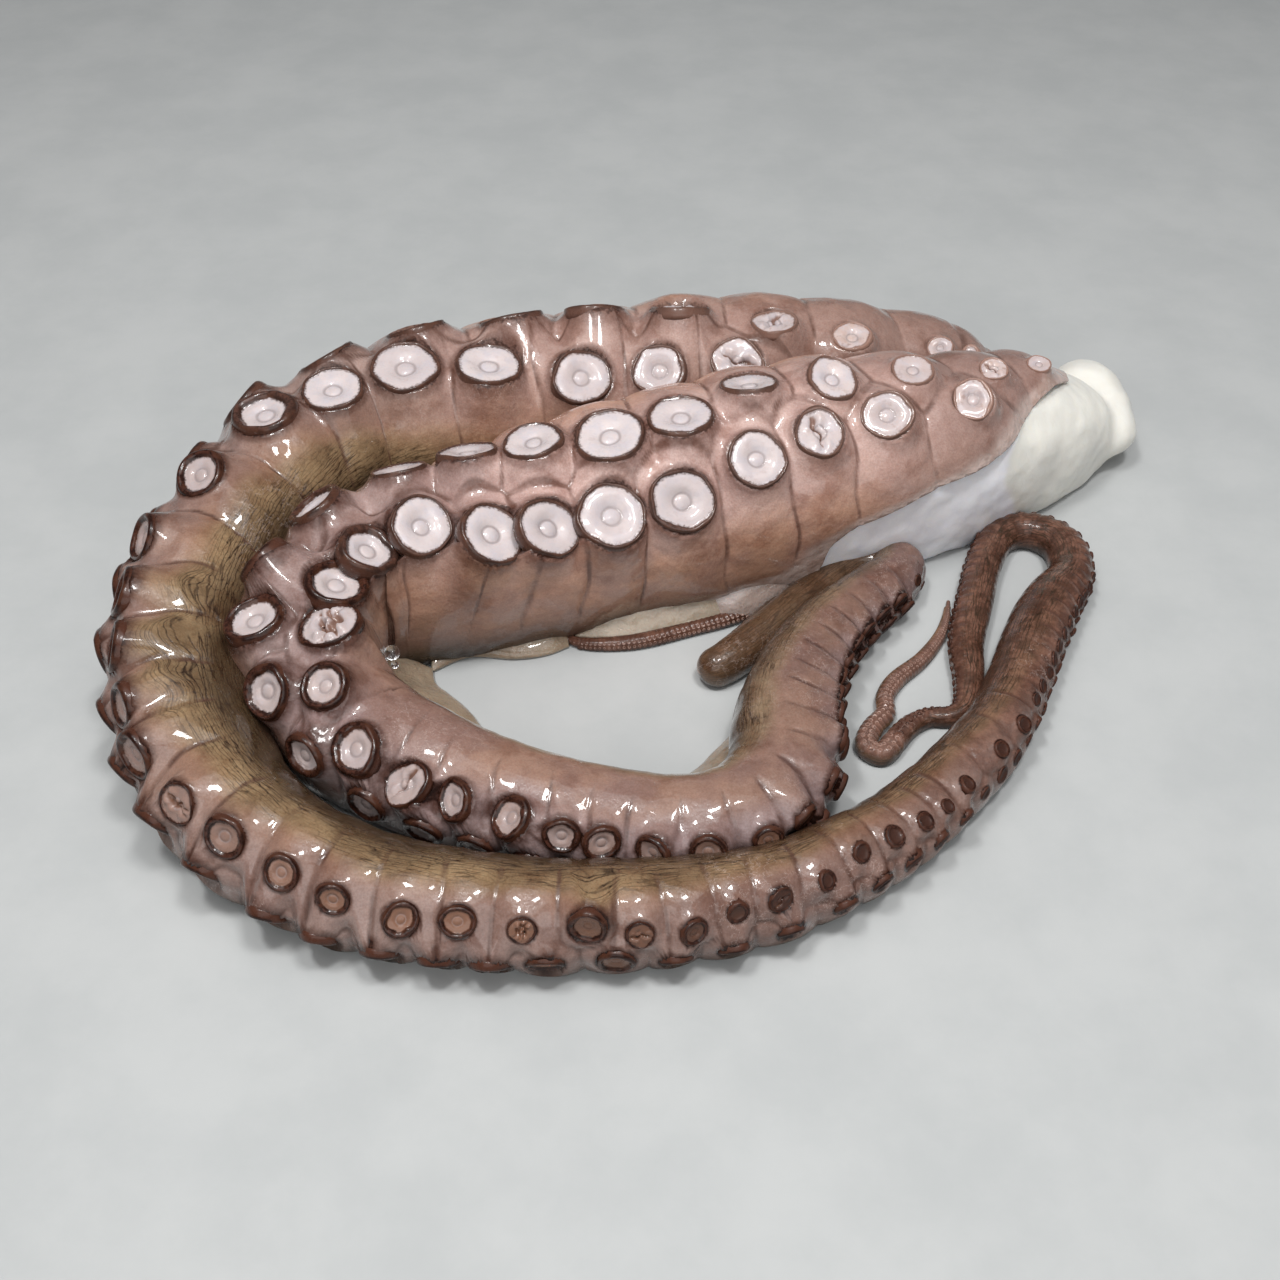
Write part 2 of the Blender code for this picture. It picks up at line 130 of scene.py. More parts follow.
INNER_FAR_ROW = (
    (31, 6.1, 10, 0, 7), (47.5, 7.3, 7, 0, 10), (70.5, 10.6, 12, -3, 3), (92.5, 12.9, 11, -7, -5),
    (113, 13.7, 22, 19, -1), (132, 15.7, 16, 14, 3), (150, 16.9, 18, 8, 7),
    (167.5, 14.3, 24, 7, 6), (182.5, 13.3, 26, 13, -1), (199, 13.4, 27, 10, 2),
    (217, 14, 25, 12, 14), (230, 12.6, 28, 31, -20), (243, 13.7, 23, -16, 0),
    (255.5, 12.0, 21, 5, 11), (267, 10, 21, 10, 5), (280, 9.4, 22, 10, 0), (292, 8.8, 22, 10, 0),
    (303, 8.6, 22, 10, 0), (314, 7.8, 22, 10, 0), (325, 7.2, 22, 10, 0), (336, 6.8, 22, 10, 0),
    (346, 6.6, 20, 10, 0), (356, 6.4, 16, 12, 0), (364, 6.4, 14, 14, 0), (372, 6.4, 14, 14, 0),
    (380, 6.2, 14, 14, 0), (388, 6.0, 14, 14, 0), (396, 5.8, 14, 14, 0), (404, 5.6, 14, 14, 0),
    (412, 5.4, 14, 14, 0), (420, 5.2, 14, 14, 0), (428, 5.0, 14, 14, 0), (436, 5.0, 14, 14, 0),
    (444, 5.0, 14, 14, 0),
)
INNER_NEAR_ROW = (
    (59, 10.6, 11, 2, 14), (82.5, 12.6, 13, 1, 6), (101, 12.6, 15, 10, 0), (117.5, 14, 17, 5, -1),
    (136, 15.4, 24, 9, -4), (156, 16.1, 22, 21, 0), (171, 14.8, 25, 14, -18),
    (182.5, 15.2, 27, 16, -21), (197.5, 14.6, 21, -1, -16), (215.5, 13.9, 25, 10, -16),
    (237.5, 14.2, 24, 6, 2), (251.5, 13.0, 30, 24, -3), (264, 10.8, 23, 11, 5),
    (276, 11.6, 15, -8, -7), (288, 10.2, 17, -24, -16), (298, 8.9, 20, -6, -22),
    (309.5, 9.2, 22, -24, -22), (320, 7.8, 20, 10, 16), (328, 7.8, 22, 9, 20),
    (337, 7.2, 20, 10, -24), (346, 7.6, 18, 7, -10), (355, 6.4, 14, 12, -16),
    (361, 6.4, 12, 34, 0), (369, 6.4, 12, 36, 0), (377, 6.2, 13, 38, 0), (385, 6.0, 14, 38, 0),
    (393, 5.8, 15, 38, 0), (401, 5.6, 16, 38, 0), (409, 5.4, 16, 38, 0), (417, 5.2, 16, 38, 0),
    (425, 5.1, 16, 38, 0), (433, 5.0, 16, 36, 0), (441, 5.0, 14, 34, 0),
)
# Distances at which a large sucker's disc is folded.
FOLDED = (47.5, 75, 99.5, 87, 101, 251.5, 288, 322, 392, 413.5, 432, 440.5, 459, 482)

# In each of these tables the first and the last value hold beyond their own distances.

# Height of the rims from the centre line, in half-widths. The outer arm's far row is pressed flat
# where the arm turns round the left of the coil, and stands out again in front.
OUTER_HEIGHT = ((140, 1.20), (175, 1.28))
INNER_HEIGHT = ((150, 1.20), (180, 1.29), (260, 1.29), (300, 1.20), (800, 1.22))
PRESSED_HEIGHT = (
    (140, 1.20), (175, 1.26), (215, 1.26), (232, 1.12), (290, 1.12), (312, 1.20), (340, 1.22),
)
SMALL_HEIGHT = ((0, 1.12),)
SMALL_DIAMETER = 0.42                                       # in half-widths of the arm
SMALL_PITCH = ((1.0, 0.75), (6.5, 0.62), (8.5, 0.92))       # half-width, and pitch in it
SMALL_SPREAD = 18                                           # degrees
LARGE_DIAMETER = 5.0                                        # from here a disc has full detail
LOWEST_RIM = 1.2                                            # millimetres over the surface

# How much higher than elsewhere the skin swells under the suckers, by distance.
OUTER_SWELL = ((120, 1.0), (170, 1.5), (400, 1.5), (480, 1.0), (800, 0.8))
INNER_SWELL = (
    (0, 0.9), (150, 1.0), (190, 1.4), (235, 1.3), (262, 0.6), (300, 0.4), (350, 0.5), (370, 1.1),
)

# How white the discs' plates are, down to tan at 0 and brown at -1, and how dark their rims, by
# distance along the arm.
OUTER_WHITENESS = (
    (205, 1.0), (235, 0.5), (262, 0.25), (330, 0.1), (400, -0.2), (440, -0.7), (800, -1.0),
)
INNER_WHITENESS = (
    (210, 1.0), (240, 0.7), (275, 0.45), (335, 0.15), (355, 0.0), (365, -0.8), (800, -1.0),
)
RIM_DARKNESS = ((0, 0.1), (58, 0.2), (90, 0.65), (125, 0.85), (200, 0.88), (235, 1.0))

# Where the skin ends on the inner arm's base: angle, and distance along the arm.
SKIN_END = (
    (-180, 108), (-98, 99), (-90, 94), (-84, 86), (-74, 71), (-66, 58), (-56, 49), (-48, 44),
    (-32, 35), (-14, 19), (16, 14), (60, 22), (120, 55), (180, 108),
)
# Where the creamy flesh turns into the bluish lining under the skin: angle, and distance.
LINING_START = ((-180, 38), (-130, 41), (-102, 48), (-82, 51), (-68, 50), (-50, 45), (180, 30))
# Where the brown skin turns into thin pale skin on the flank: distance, and angle.
MEMBRANE_START = ((50, 58), (75, 78), (90, 92), (110, 108), (135, 124), (165, 150))
FLESH_DEPTH = 1.0       # of the flesh under the skin's outside
# The lumps of the cut end: x, y and z of the middle, and half their sizes.
LOBES = (
    (130, 77, 9.5, 10, 11, 8), (129, 83, 10.5, 11, 11, 9.6), (127.5, 88, 11, 11.5, 13.5, 10.5),
    (121.5, 92, 7.0, 8.5, 7.5, 6.8), (130, 94, 6.0, 7, 7.5, 5.8),
)

# Degrees from the middle of the oral side to the olive back of the arm, by distance.
OUTER_BACK = ((0, 95), (90, 75), (200, 54), (800, 52))
INNER_BACK = ((0, 118), (220, 112), (345, 108), (380, 92), (800, 88))
PLAIN_BACK = ((0, 60),)

# How light the skin is painted, by distance: partly its own tone and partly painted light and
# shade.
OUTER_TONE_AND_LIGHT = (
    (0, 0.74), (60, 0.84), (105, 1.30), (155, 1.32), (195, 0.88), (300, 0.84), (460, 0.86),
    (800, 1.0),
)
INNER_TONE_AND_LIGHT = (
    (0, 0.74), (60, 0.82), (95, 1.5), (170, 1.7), (200, 1.12), (250, 0.95), (300, 0.95),
    (350, 0.90), (400, 0.88), (800, 0.85),
)
RETURN_TONE_AND_LIGHT = ((0, 1.3),)

# How greyish the skin is against its plain colours, by distance.
INNER_GREY = ((0, 0.2), (150, 0.25), (240, 0.5), (270, 0.8), (340, 1.0))

# How far the skin has turned into the dark brown of the tips, by distance.
OUTER_THIN = ((370, 0.0), (440, 0.30), (490, 0.5), (530, 0.85), (570, 1.0), (800, 0.85))
INNER_THIN = ((335, 0.0), (390, 0.30), (440, 0.45), (800, 0.5))
TIP_THIN = ((0, 0.7),)
RETURN_THIN = ((0, 0.25),)

NOWHERE = ((0, 0.0),)
EVERYWHERE = ((0, 1.0),)


# --- Numbers and curves ----------------------------------------------------------------------

def smoothstep(low, high, value):
    share = np.clip((value - low) / (high - low), 0.0, 1.0)
    return share * share * (3.0 - 2.0 * share)


def looked_up(value, table):
    """The table's second column at a value of its first."""
    return np.interp(value, *zip(*table))


def wrapped(angle):
    return (angle + np.pi) % (2.0 * np.pi) - np.pi


def softened(values, reach):
    """The values with their kinks smoothed away over `reach` entries to each side."""
    window = np.hanning(2 * reach + 3)[1:-1]
    padded = np.pad(values, reach, mode="reflect", reflect_type="odd")
    return np.convolve(padded, window / window.sum(), "valid")


def through(points, per_span=24):
    """A smooth curve through the points, with `per_span` steps between two of them."""
    points = np.array(points, float)
    ends = np.vstack([2 * points[0] - points[1], points, 2 * points[-1] - points[-2]])
    share = np.linspace(0.0, 1.0, per_span, endpoint=False)[:, None]
    spans = []
    for before, start, end, after in zip(ends, ends[1:], ends[2:], ends[3:]):
        bend = 2 * before - 5 * start + 4 * end - after
        twist = 3 * start - before - 3 * end + after
        curve = (end - before) * share + bend * share ** 2 + twist * share ** 3
        spans.append(start + 0.5 * curve)
    return np.vstack([*spans, points[-1:]])


def lumps(places, size, seed):
    """Soft noise from -1 to 1 at places in millimetres, with lumps about `size` across."""
    offset = Vector((17.3 * seed, 5.1 * seed, 29.7 * seed))
    flat = places.reshape(-1, 3) / size
    values = [noise.noise(Vector(place) + offset) for place in flat]
    return np.array(values).reshape(places.shape[:-1])


class Route:
    """An arm's middle line: place, half-width and the way the suckers face, by distance."""

    STEP = 0.25
    SOFTENING = 24

    def __init__(self, stations):
        fine = through(stations)
        travelled = np.r_[0.0, np.cumsum(np.hypot(*np.diff(fine[:, :2], axis=0).T))]
        self.length = float(travelled[-1])
        self.distance = np.linspace(0.0, self.length, int(self.length / self.STEP) + 2)
        x, y, half_width, facing = (
            np.interp(self.distance, travelled, fine[:, axis]) for axis in range(4)
        )
        self.half_width = softened(half_width, self.SOFTENING)
        self.facing = np.radians(softened(facing, self.SOFTENING))
        self.x = softened(x, self.SOFTENING // 3)
        self.y = softened(y, self.SOFTENING // 3)
        self.heading = np.unwrap(np.arctan2(np.gradient(self.y), np.gradient(self.x)))
        self.bend = softened(-np.gradient(self.heading, self.distance), self.SOFTENING)

    def at(self, distance):
        """Half-width, facing, heading, bend towards the outside, and the centre's place."""
        distance = np.clip(distance, 0.0, self.length)
        x, y, half_width, facing, heading, bend = (
            np.interp(distance, self.distance, values)
            for values in (self.x, self.y, self.half_width, self.facing, self.heading, self.bend)
        )
        centre = np.stack([x - MIDDLE[0], y - MIDDLE[1], SINK * half_width], -1)
        return half_width, facing, heading, bend, centre


def outward(heading):
    """The level direction towards the outside of the coil."""
    return np.stack([np.sin(heading), -np.cos(heading), 0.0 * heading], -1)


# --- Suckers ---------------------------------------------------------------------------------

FULL_RISE = 0.20        # of a rim over the tube, in half-widths, from which its swelling is whole
DISC_STRETCH = 0.05     # how much longer one way than round a disc may be


class Sucker:
    """A sucker's place on an arm, the way its disc faces, and what is its own."""

    def __init__(self, route, spot, side, heights, swell, broad_from, draw):
        self.distance, diameter, spread, lean_out, lean_along = spot
        half_width, facing, heading, _, centre = route.at(self.distance)
        self.side = side
        self.radius = diameter / 2
        self.half_width = float(half_width)
        self.height = float(looked_up(self.distance, heights))
        self.swell = min(self.height - 1.0, FULL_RISE) / FULL_RISE * looked_up(self.distance, swell)
        self.angle = float(facing) + side * math.radians(spread)
        self.lean = (math.radians(lean_out), math.radians(lean_along))
        outside = Vector(outward(heading))
        self.travel = Vector((math.cos(heading), math.sin(heading), 0.0))
        self.up = self.direction(outside, self.angle)
        self.rim = Vector(centre) + self.up * self.height * self.half_width
        face = self.direction(outside, self.angle + self.lean[0])
        self.face = face * math.cos(self.lean[1]) + self.travel * math.sin(self.lean[1])
        self.turn = draw.uniform(0.0, 2.0 * math.pi)
        self.stretch = 1.0 + draw.uniform(-DISC_STRETCH, DISC_STRETCH)
        self.tone = draw.random()
        kinds = NARROW_KINDS if self.distance < broad_from else BROAD_KINDS
        if diameter < LARGE_DIAMETER:
            kinds = (CUP_KIND,)
        elif self.distance in FOLDED:
            kinds = FOLDED_KINDS
        self.kind = kinds[draw.randrange(len(kinds))]

    @staticmethod
    def direction(outside, angle):
        return outside * math.sin(angle) + Vector((0.0, 0.0, math.cos(angle)))


def sucker_rows(route, rows, swell, broad_from, seed):
    """Every sucker of an arm: the large ones as listed, and the rest by the rule.

    From the distance `broad_from` on, the rims are broad.
    """
    draw = random.Random(seed)
    found = []
    for side, (large, heights) in zip((1, -1), rows):
        found += [Sucker(route, spot, side, heights, swell, broad_from, draw) for spot in large]
        distance = 2 * large[-1][0] - large[-2][0] if large else 1.0
        while distance < route.length - 1.0:
            half_width = float(route.at(distance)[0])
            diameter = SMALL_DIAMETER * half_width * draw.uniform(0.88, 1.12)
            spot = (distance, diameter, SMALL_SPREAD, draw.gauss(8.0, 6.0), draw.gauss(0.0, 6.0))
            found.append(Sucker(route, spot, side, SMALL_HEIGHT, swell, broad_from, draw))
            distance += half_width * looked_up(half_width, SMALL_PITCH)
    return [sucker for sucker in found if sucker.rim.z > LOWEST_RIM + 0.5 * sucker.radius]


# --- Skins -----------------------------------------------------------------------------------

DOME_HEIGHT = 0.150     # of the swelling under a sucker, in half-widths
DOME_INWARD = 0.42      # where the two rows' swellings meet, in half-widths from a sucker
DOME_OUTWARD = (0.35, 1.55)     # where a swelling fades on the arm's flank
DOME_LENGTH = (1.2, 2.0)        # along the arm at the most: in half-widths, and millimetres more
DOME_REACH = 1.3        # along the arm, in its own length
CREASE_WIDTH = 0.60     # millimetres on the skin
CREASE_DEPTH = 0.36
JOIN = 0.35             # how softly two swellings meet, in millimetres of height
FAR_UNDER = -9.0
WANDER = 2.4            # millimetres that the creases stray to their sides


def relief(suckers, distance, angle, half_width):
    """Height over the plain tube, and the creases between swellings, for rings of places."""
    highest = np.full(angle.shape, FAR_UNDER)
    second = highest.copy()
    slope = np.ones(angle.shape)
    strength = np.zeros(angle.shape)
    for side in (1, -1):
        row = [sucker for sucker in suckers if sucker.side == side]
        row.sort(key=lambda sucker: sucker.distance)
        for index, sucker in enumerate(row):
            neighbours = row[max(index - 1, 0):index] + row[index + 1:index + 2]
            pitch = np.mean([abs(sucker.distance - other.distance) for other in neighbours])
            pitch = min(pitch, DOME_LENGTH[0] * sucker.half_width + DOME_LENGTH[1])
            near = np.abs(distance.mean(1) - sucker.distance) < DOME_REACH * pitch
            if not near.any():
                continue
            along = (distance[near] - sucker.distance) / (0.5 * pitch)
            across = half_width[near, None] * wrapped(angle[near] - sucker.angle)
            down = side * across / sucker.half_width
            fade = 1.0 - smoothstep(*DOME_OUTWARD, down)
            ridge = 1.0 - 0.5 * along ** 2
            share = np.where(ridge > 0.0, ridge * fade, ridge)
            share -= 0.5 * (np.minimum(down, 0.0) / DOME_INWARD) ** 2
            swell = DOME_HEIGHT * sucker.half_width * sucker.swell
            height = swell * share
            wins = height > highest[near]
            slope[near] = np.where(wins, 4.0 * swell * np.maximum(fade, 0.05) / pitch, slope[near])
            strength[near] = np.where(wins, fade * min(sucker.swell, 1.0), strength[near])
            second[near] = np.maximum(second[near], np.minimum(highest[near], height))
            highest[near] = np.maximum(highest[near], height)
    gap = highest - second
    height = highest + JOIN * np.log1p(np.exp(-np.minimum(gap / JOIN, 40.0)))
    height = np.maximum(height, 0.0) + JOIN * np.log1p(np.exp(-np.abs(height) / JOIN))
    crease = np.exp(-(gap / slope / CREASE_WIDTH) ** 2) * smoothstep(0.0, 0.5, strength)
    return height - CREASE_DEPTH * crease, crease


SEAT = 0.045            # of the skin under a sucker's rim, in sucker radii
CONE = (1.30, 0.80)     # the skin's fall from the rim outwards: by distance, and by its square
STEEP_CONE = 3.2        # the same on the side where the skin lies far below the rim
STEEP_DEPTH = (-0.55, -1.5)     # the skin's height under the rim where that starts and is whole
CONE_JOIN = 0.16        # how softly it meets the swelling
CONE_END = (1.4, 2.0)   # where it fades: radii from the disc's middle
CONE_DEPTH = (-3.0, -1.9)       # and the skin's height under the rim
CONE_GRIP = (-0.25, 0.25)       # and where the skin turns away from the way the disc faces
CONE_ROUNDS = 3
PIT = 0.32              # of the skin under the plate
OVERHANG = 3.0          # the steepest that the skin stands over a rim, outwards from it
OVERHANG_END = 1.7      # radii from the middle, from where it may stand higher
HALO_END = 1.5          # of the darker skin round a rim: its own brown, and painted shade under the disc
SMALLEST_SEAT = 1.2     # millimetres of radius


def blurred(values, times):
    """The values of rings of places, averaged with those beside them."""
    for _ in range(times):
        values = 0.5 * values + 0.25 * (np.roll(values, 1, axis=1) + np.roll(values, -1, axis=1))
        longer = np.concatenate([values[:1], values, values[-1:]])
        values = 0.5 * values + 0.25 * (longer[:-2] + longer[2:])
    return values


def from_sucker(sucker, distance, places, around):
    """The rings near a sucker: height over its rim's plane, distance in radii, and grip.

    Grip is how much of a move along `around` is a move along the way that the sucker faces.
    """
    near = np.abs(distance - sucker.distance) < 3.4 * sucker.radius + 2.0
    offset = places[near] - np.array(sucker.rim)
    above = offset @ np.array(sucker.face)
    level = offset - above[..., None] * np.array(sucker.face)
    out = np.linalg.norm(level, axis=-1) / sucker.radius
    grip = around[near] @ np.array(sucker.face)
    return near, above, out, grip


def seated(suckers, distance, places, around):
    """Raises the skin to every rim and keeps it under every plate. Returns the halos too."""
    fitted = [sucker for sucker in suckers if sucker.radius > SMALLEST_SEAT]
    plain = [from_sucker(sucker, distance, places, around)[1] / sucker.radius for sucker in fitted]
    for cone_round in range(CONE_ROUNDS):
        strongest = np.zeros(places.shape[:2])
        move = np.zeros(places.shape)
        for sucker, depth in zip(fitted, plain):
            near, above, out, grip = from_sucker(sucker, distance, places, around)
            fall = np.maximum(out - 1.0, 0.0)
            slope = CONE[0] + (STEEP_CONE - CONE[0]) * smoothstep(*STEEP_DEPTH, depth)
            short = -(SEAT + slope * fall + CONE[1] * fall ** 2) * sucker.radius - above
            rise = np.maximum(short, 0.0)
            if cone_round == 0:
                soft = CONE_JOIN * sucker.radius
                rise = rise + soft * np.log1p(np.exp(-np.abs(short) / soft))
            rise = rise * smoothstep(*CONE_END[::-1], out) * smoothstep(*CONE_GRIP, grip)
            rise = rise * smoothstep(*CONE_DEPTH, depth)
            wins = rise > strongest[near]
            strongest[near] = np.where(wins, rise, strongest[near])
            raised = rise[..., None] * np.array(sucker.face)
            move[near] = np.where(wins[..., None], raised, move[near])
        places = places + blurred(move, 2 if cone_round == 0 else 1)
    halo = np.zeros(places.shape[:2])
    for sucker in fitted:
        near, above, out, grip = from_sucker(sucker, distance, places, around)
        under = np.interp(out, (0.0, 0.9, 1.0), (-PIT, -PIT, -SEAT))
        ceiling = (under + OVERHANG * np.maximum(out - 1.0, 0.0)) * sucker.radius
        excess = np.maximum(above - ceiling, 0.0) * (out < OVERHANG_END) * (grip > 0.05)
        places[near] -= excess[..., None] * np.array(sucker.face)
        ring = smoothstep(HALO_END, 1.0, out) * (above > -sucker.radius)
        halo[near] = np.maximum(halo[near], ring)
    return places, halo


# Power that widens the lower half of the tube, which sags on the surface, by its half-width.
SLUMP = ((11.5, 0.62), (15.0, 0.22))


def slumped(angle, half_width):
    """Sideways reach of the tube at an angle from straight up, in radii."""
    power = np.where(np.cos(angle) < 0.0, looked_up(half_width, SLUMP), 1.0)
    return np.sign(angle) * np.abs(np.sin(angle)) ** power


COLUMN_SPREAD = (0.58, 0.42)    # columns are closer on the upper side: linear part, fifth power
END_ANGLES = np.radians((86, 78, 68, 57, 45, 33, 21, 10))
LUMPS = ((0.5, 14.0, 1), (0.15, 4.5, 2))    # the skin's lumps: height, size and seed
FULL_LUMPS = 12.0       # half-width from which lumps and strays have their full height
BEND_LIMIT = 0.9        # how near to the bend's middle the inner side may come, of the way there
FLOOR_GAP = 0.2
FIELDS = ("distance", "angle", "off_axis", "crease", "halo", "half_width")


def columns(sides):
    share = np.linspace(-1.0, 1.0, sides, endpoint=False)
    return np.pi * (COLUMN_SPREAD[0] * share + COLUMN_SPREAD[1] * share ** 5)


def rings(route, suckers, distance, sides, past_end=None):
    """Rings of a skin: their places, and the fields that its colours need.

    With `past_end`, the rings close the route's end like a ball, at those angles along it.
    """
    half_width, facing, heading, bend, centre = route.at(distance)
    angle = np.broadcast_to(columns(sides), (len(distance), sides))
    outside = outward(heading)[:, None, :]
    upwards = np.array([0.0, 0.0, 1.0])
    around = np.sin(angle)[..., None] * outside + np.cos(angle)[..., None] * upwards
    base = centre[:, None, :] + half_width[:, None, None] * around
    size = np.minimum(half_width[:, None] / FULL_LUMPS, 1.0)
    wander = WANDER * size * lumps(base, 14.0, 3)
    height, crease = relief(suckers, distance[:, None] + wander, angle, half_width)
    rough = sum(high * lumps(base, wide, seed) for high, wide, seed in LUMPS)
    radius = half_width[:, None] + height + size * rough
    lateral = radius * slumped(angle, half_width[:, None])
    limit = BEND_LIMIT / np.maximum(np.abs(bend), 1e-4)[:, None]
    folding = lateral * np.sign(bend)[:, None] < 0.0
    lateral = np.where(folding, limit * np.tanh(lateral / limit), lateral)
    rise = radius * np.cos(angle)
    if past_end is not None:
        lateral = lateral * np.cos(past_end)[:, None]
        rise = rise * np.cos(past_end)[:, None]
    places = centre[:, None, :] + lateral[..., None] * outside + rise[..., None] * upwards
    if past_end is not None:
        way = np.where(distance > route.length / 2, 1.0, -1.0) * half_width * np.sin(past_end)
        travel = np.stack([np.cos(heading), np.sin(heading), 0.0 * heading], -1)
        places = places + (travel * way[:, None])[:, None, :]
        halo = np.zeros(angle.shape)
    else:
        places, halo = seated(suckers, distance, places, around)
    places[..., 2] = np.maximum(places[..., 2], FLOOR_GAP)
    wide = np.ones(angle.shape)
    fields = (
        distance[:, None] * wide, angle, wrapped(angle - facing[:, None]), crease, halo,
        half_width[:, None] * wide,
    )
    return places, np.stack(fields, -1)


def quads(index):
    """Faces of a grid of vertex numbers whose last column meets the first, facing out."""
    right = np.roll(index, -1, axis=1)
    return np.stack([index[:-1], right[:-1], right[1:], index[1:]], -1).reshape(-1, 4).tolist()


def halving(wide, narrow):
    """Triangles between a ring and one with half as many vertices."""
    faces = []
    for k, corner in enumerate(narrow):
        following = narrow[(k + 1) % len(narrow)]
        middle = wide[2 * k + 1]
        last = wide[(2 * k + 2) % len(wide)]
        faces += [
            (wide[2 * k], middle, corner), (middle, following, corner), (middle, last, following),
        ]
    return [tuple(int(number) for number in face) for face in faces]


def skin_mesh(name, route, suckers, zones):
    """A closed skin over a route. Each zone has an end, a number of columns and a spacing."""
    parts = []
    start = 0.0
    for end, sides, spacing in zones:
        end = min(end, route.length)
        rows = np.linspace(start, end, max(int((end - start) / spacing), 2))
        if start > 0.0:
            rows = rows[1:]
        parts.append(rings(route, suckers, rows, sides))
        start = end
    ends = (np.zeros(len(END_ANGLES)), np.full(len(END_ANGLES), route.length))
    parts.insert(0, rings(route, suckers, ends[0], zones[0][1], END_ANGLES))
    parts.append(rings(route, suckers, ends[1], zones[-1][1], END_ANGLES[::-1]))
    faces = []
    total = 0
    last = None
    for places, _ in parts:
        rows, sides = places.shape[:2]
        index = total + np.arange(rows * sides).reshape(rows, sides)
        total += rows * sides
        if last is not None and len(last) != sides:
            faces += halving(last, index[0])
        elif last is not None:
            index = np.vstack([last[None], index])
        faces += quads(index)
        last = index[-1]
    first_sides = parts[0][0].shape[1]
    for pole, ring in ((total, np.arange(first_sides)[::-1]), (total + 1, last)):
        faces += [(pole, int(ring[k - 1]), int(ring[k])) for k in range(len(ring))]
    places = [part.reshape(-1, 3) for part, _ in parts]
    fields = [part.reshape(-1, len(FIELDS)) for _, part in parts]
    for edge, part in ((0, parts[0]), (-1, parts[-1])):
        places.append(part[0][edge].mean(0)[None])
        fields.append(part[1][edge].mean(0)[None])
    mesh = plain_mesh(name, np.vstack(places), faces)
    for title, values in zip(FIELDS, np.vstack(fields).T):
        store(mesh, title, values)
    return mesh


def plain_mesh(name, places, faces):
    mesh = bpy.data.meshes.new(name)
    mesh.from_pydata((np.asarray(places) * MM).tolist(), [], faces)
    mesh.shade_smooth()
    return mesh


def store(mesh, title, values):
    """Keeps one number for each vertex of the mesh."""
    layer = mesh.attributes.new(title, "FLOAT", "POINT")
    layer.data.foreach_set("value", np.ascontiguousarray(values, np.float32))


def stored(mesh, title):
    values = np.empty(len(mesh.vertices), np.float32)
    mesh.attributes[title].data.foreach_get("value", values)
    return values


def mesh_places(mesh):
    """The vertices' places in millimetres."""
    values = np.empty(3 * len(mesh.vertices), np.float32)
    mesh.vertices.foreach_get("co", values)
    return values.reshape(-1, 3) / MM


BACK_EDGE = (-9.0, 16.0)        # degrees past the back's edge over which the skin turns olive
DEEP_EDGE = (15.0, 55.0)        # and darkens with painted shade towards the gutter between the arms
ORAL_EDGE = (62.0, 22.0)        # degrees from the oral side's middle over which it turns pale
BASE_EDGE = (115.0, 55.0)       # distances over which it turns into the base's pink
UNDERSIDE = (92.0, 134.0)       # degrees from straight up over which a painted shade darkens the underside
UNDERSIDE_SHADE = 0.82


def finish_fields(mesh, arm, pattern_seed):
    """Works out the fields that the skin's colours read, and the map that follows the arm."""
    distance, angle, off_axis, half_width = (
        stored(mesh, title) for title in ("distance", "angle", "off_axis", "half_width")
    )
    away = np.degrees(np.abs(off_axis))
    places = mesh_places(mesh)
    wander = 9.0 * lumps(places, 22.0, pattern_seed) + 5.0 * lumps(places, 7.0, pattern_seed + 1)
    past_edge = away - (looked_up(distance, arm.back) + wander)
    under = smoothstep(*UNDERSIDE, np.abs(np.degrees(angle)))
    for title, values in (
        ("back", smoothstep(*BACK_EDGE, past_edge)),
        ("deep", smoothstep(*DEEP_EDGE, past_edge)),
        ("oral", smoothstep(*ORAL_EDGE, away + wander)),
        ("thin", looked_up(distance, arm.thin)),
        ("grey", looked_up(distance, arm.grey)),
        ("base", smoothstep(*BASE_EDGE, distance + wander)),
        ("darkness", looked_up(distance, RIM_DARKNESS)),
        ("bare", 0.0 * distance),
        # Painted light and shade: lightness by distance, times a painted shade on the underside.
        ("light", looked_up(distance, arm.light) * (1.0 - UNDERSIDE_SHADE * under)),
    ):
        store(mesh, title, values)
    along_map(mesh, distance, angle, half_width)


def along_map(mesh, distance, angle, half_width):
    """A map whose u runs along the arm and v round it, both in metres."""
    loops = np.empty(len(mesh.loops), np.int32)
    mesh.loops.foreach_get("vertex_index", loops)
    starts = np.empty(len(mesh.polygons), np.int32)
    mesh.polygons.foreach_get("loop_start", starts)
    turned = angle[loops]
    owner = np.repeat(np.arange(len(starts)), np.diff(np.r_[starts, len(loops)]))
    span = np.maximum.reduceat(turned, starts) - np.minimum.reduceat(turned, starts)
    turned = np.where((span[owner] > np.pi) & (turned < 0.0), turned + 2.0 * np.pi, turned)
    layer = mesh.uv_layers.new(name="along")
    flat = np.stack([distance[loops], turned * half_width[loops]], -1) * MM
    layer.data.foreach_set("uv", np.ascontiguousarray(flat.ravel(), np.float32))


# --- The cut base ----------------------------------------------------------------------------

LIP = 0.9               # millimetres that the skin's cut edge turns in
THINNING = 0.55         # millimetres that the skin loses towards it
THINNING_WIDTH = 15.0
MEMBRANE_EDGE = (-1.5, 2.5)     # degrees over which the thin pale skin begins
MEMBRANE_END = (165.0, 135.0)   # distances over which it ends
MEMBRANE_THINNING = 0.75        # of what the cut edge loses


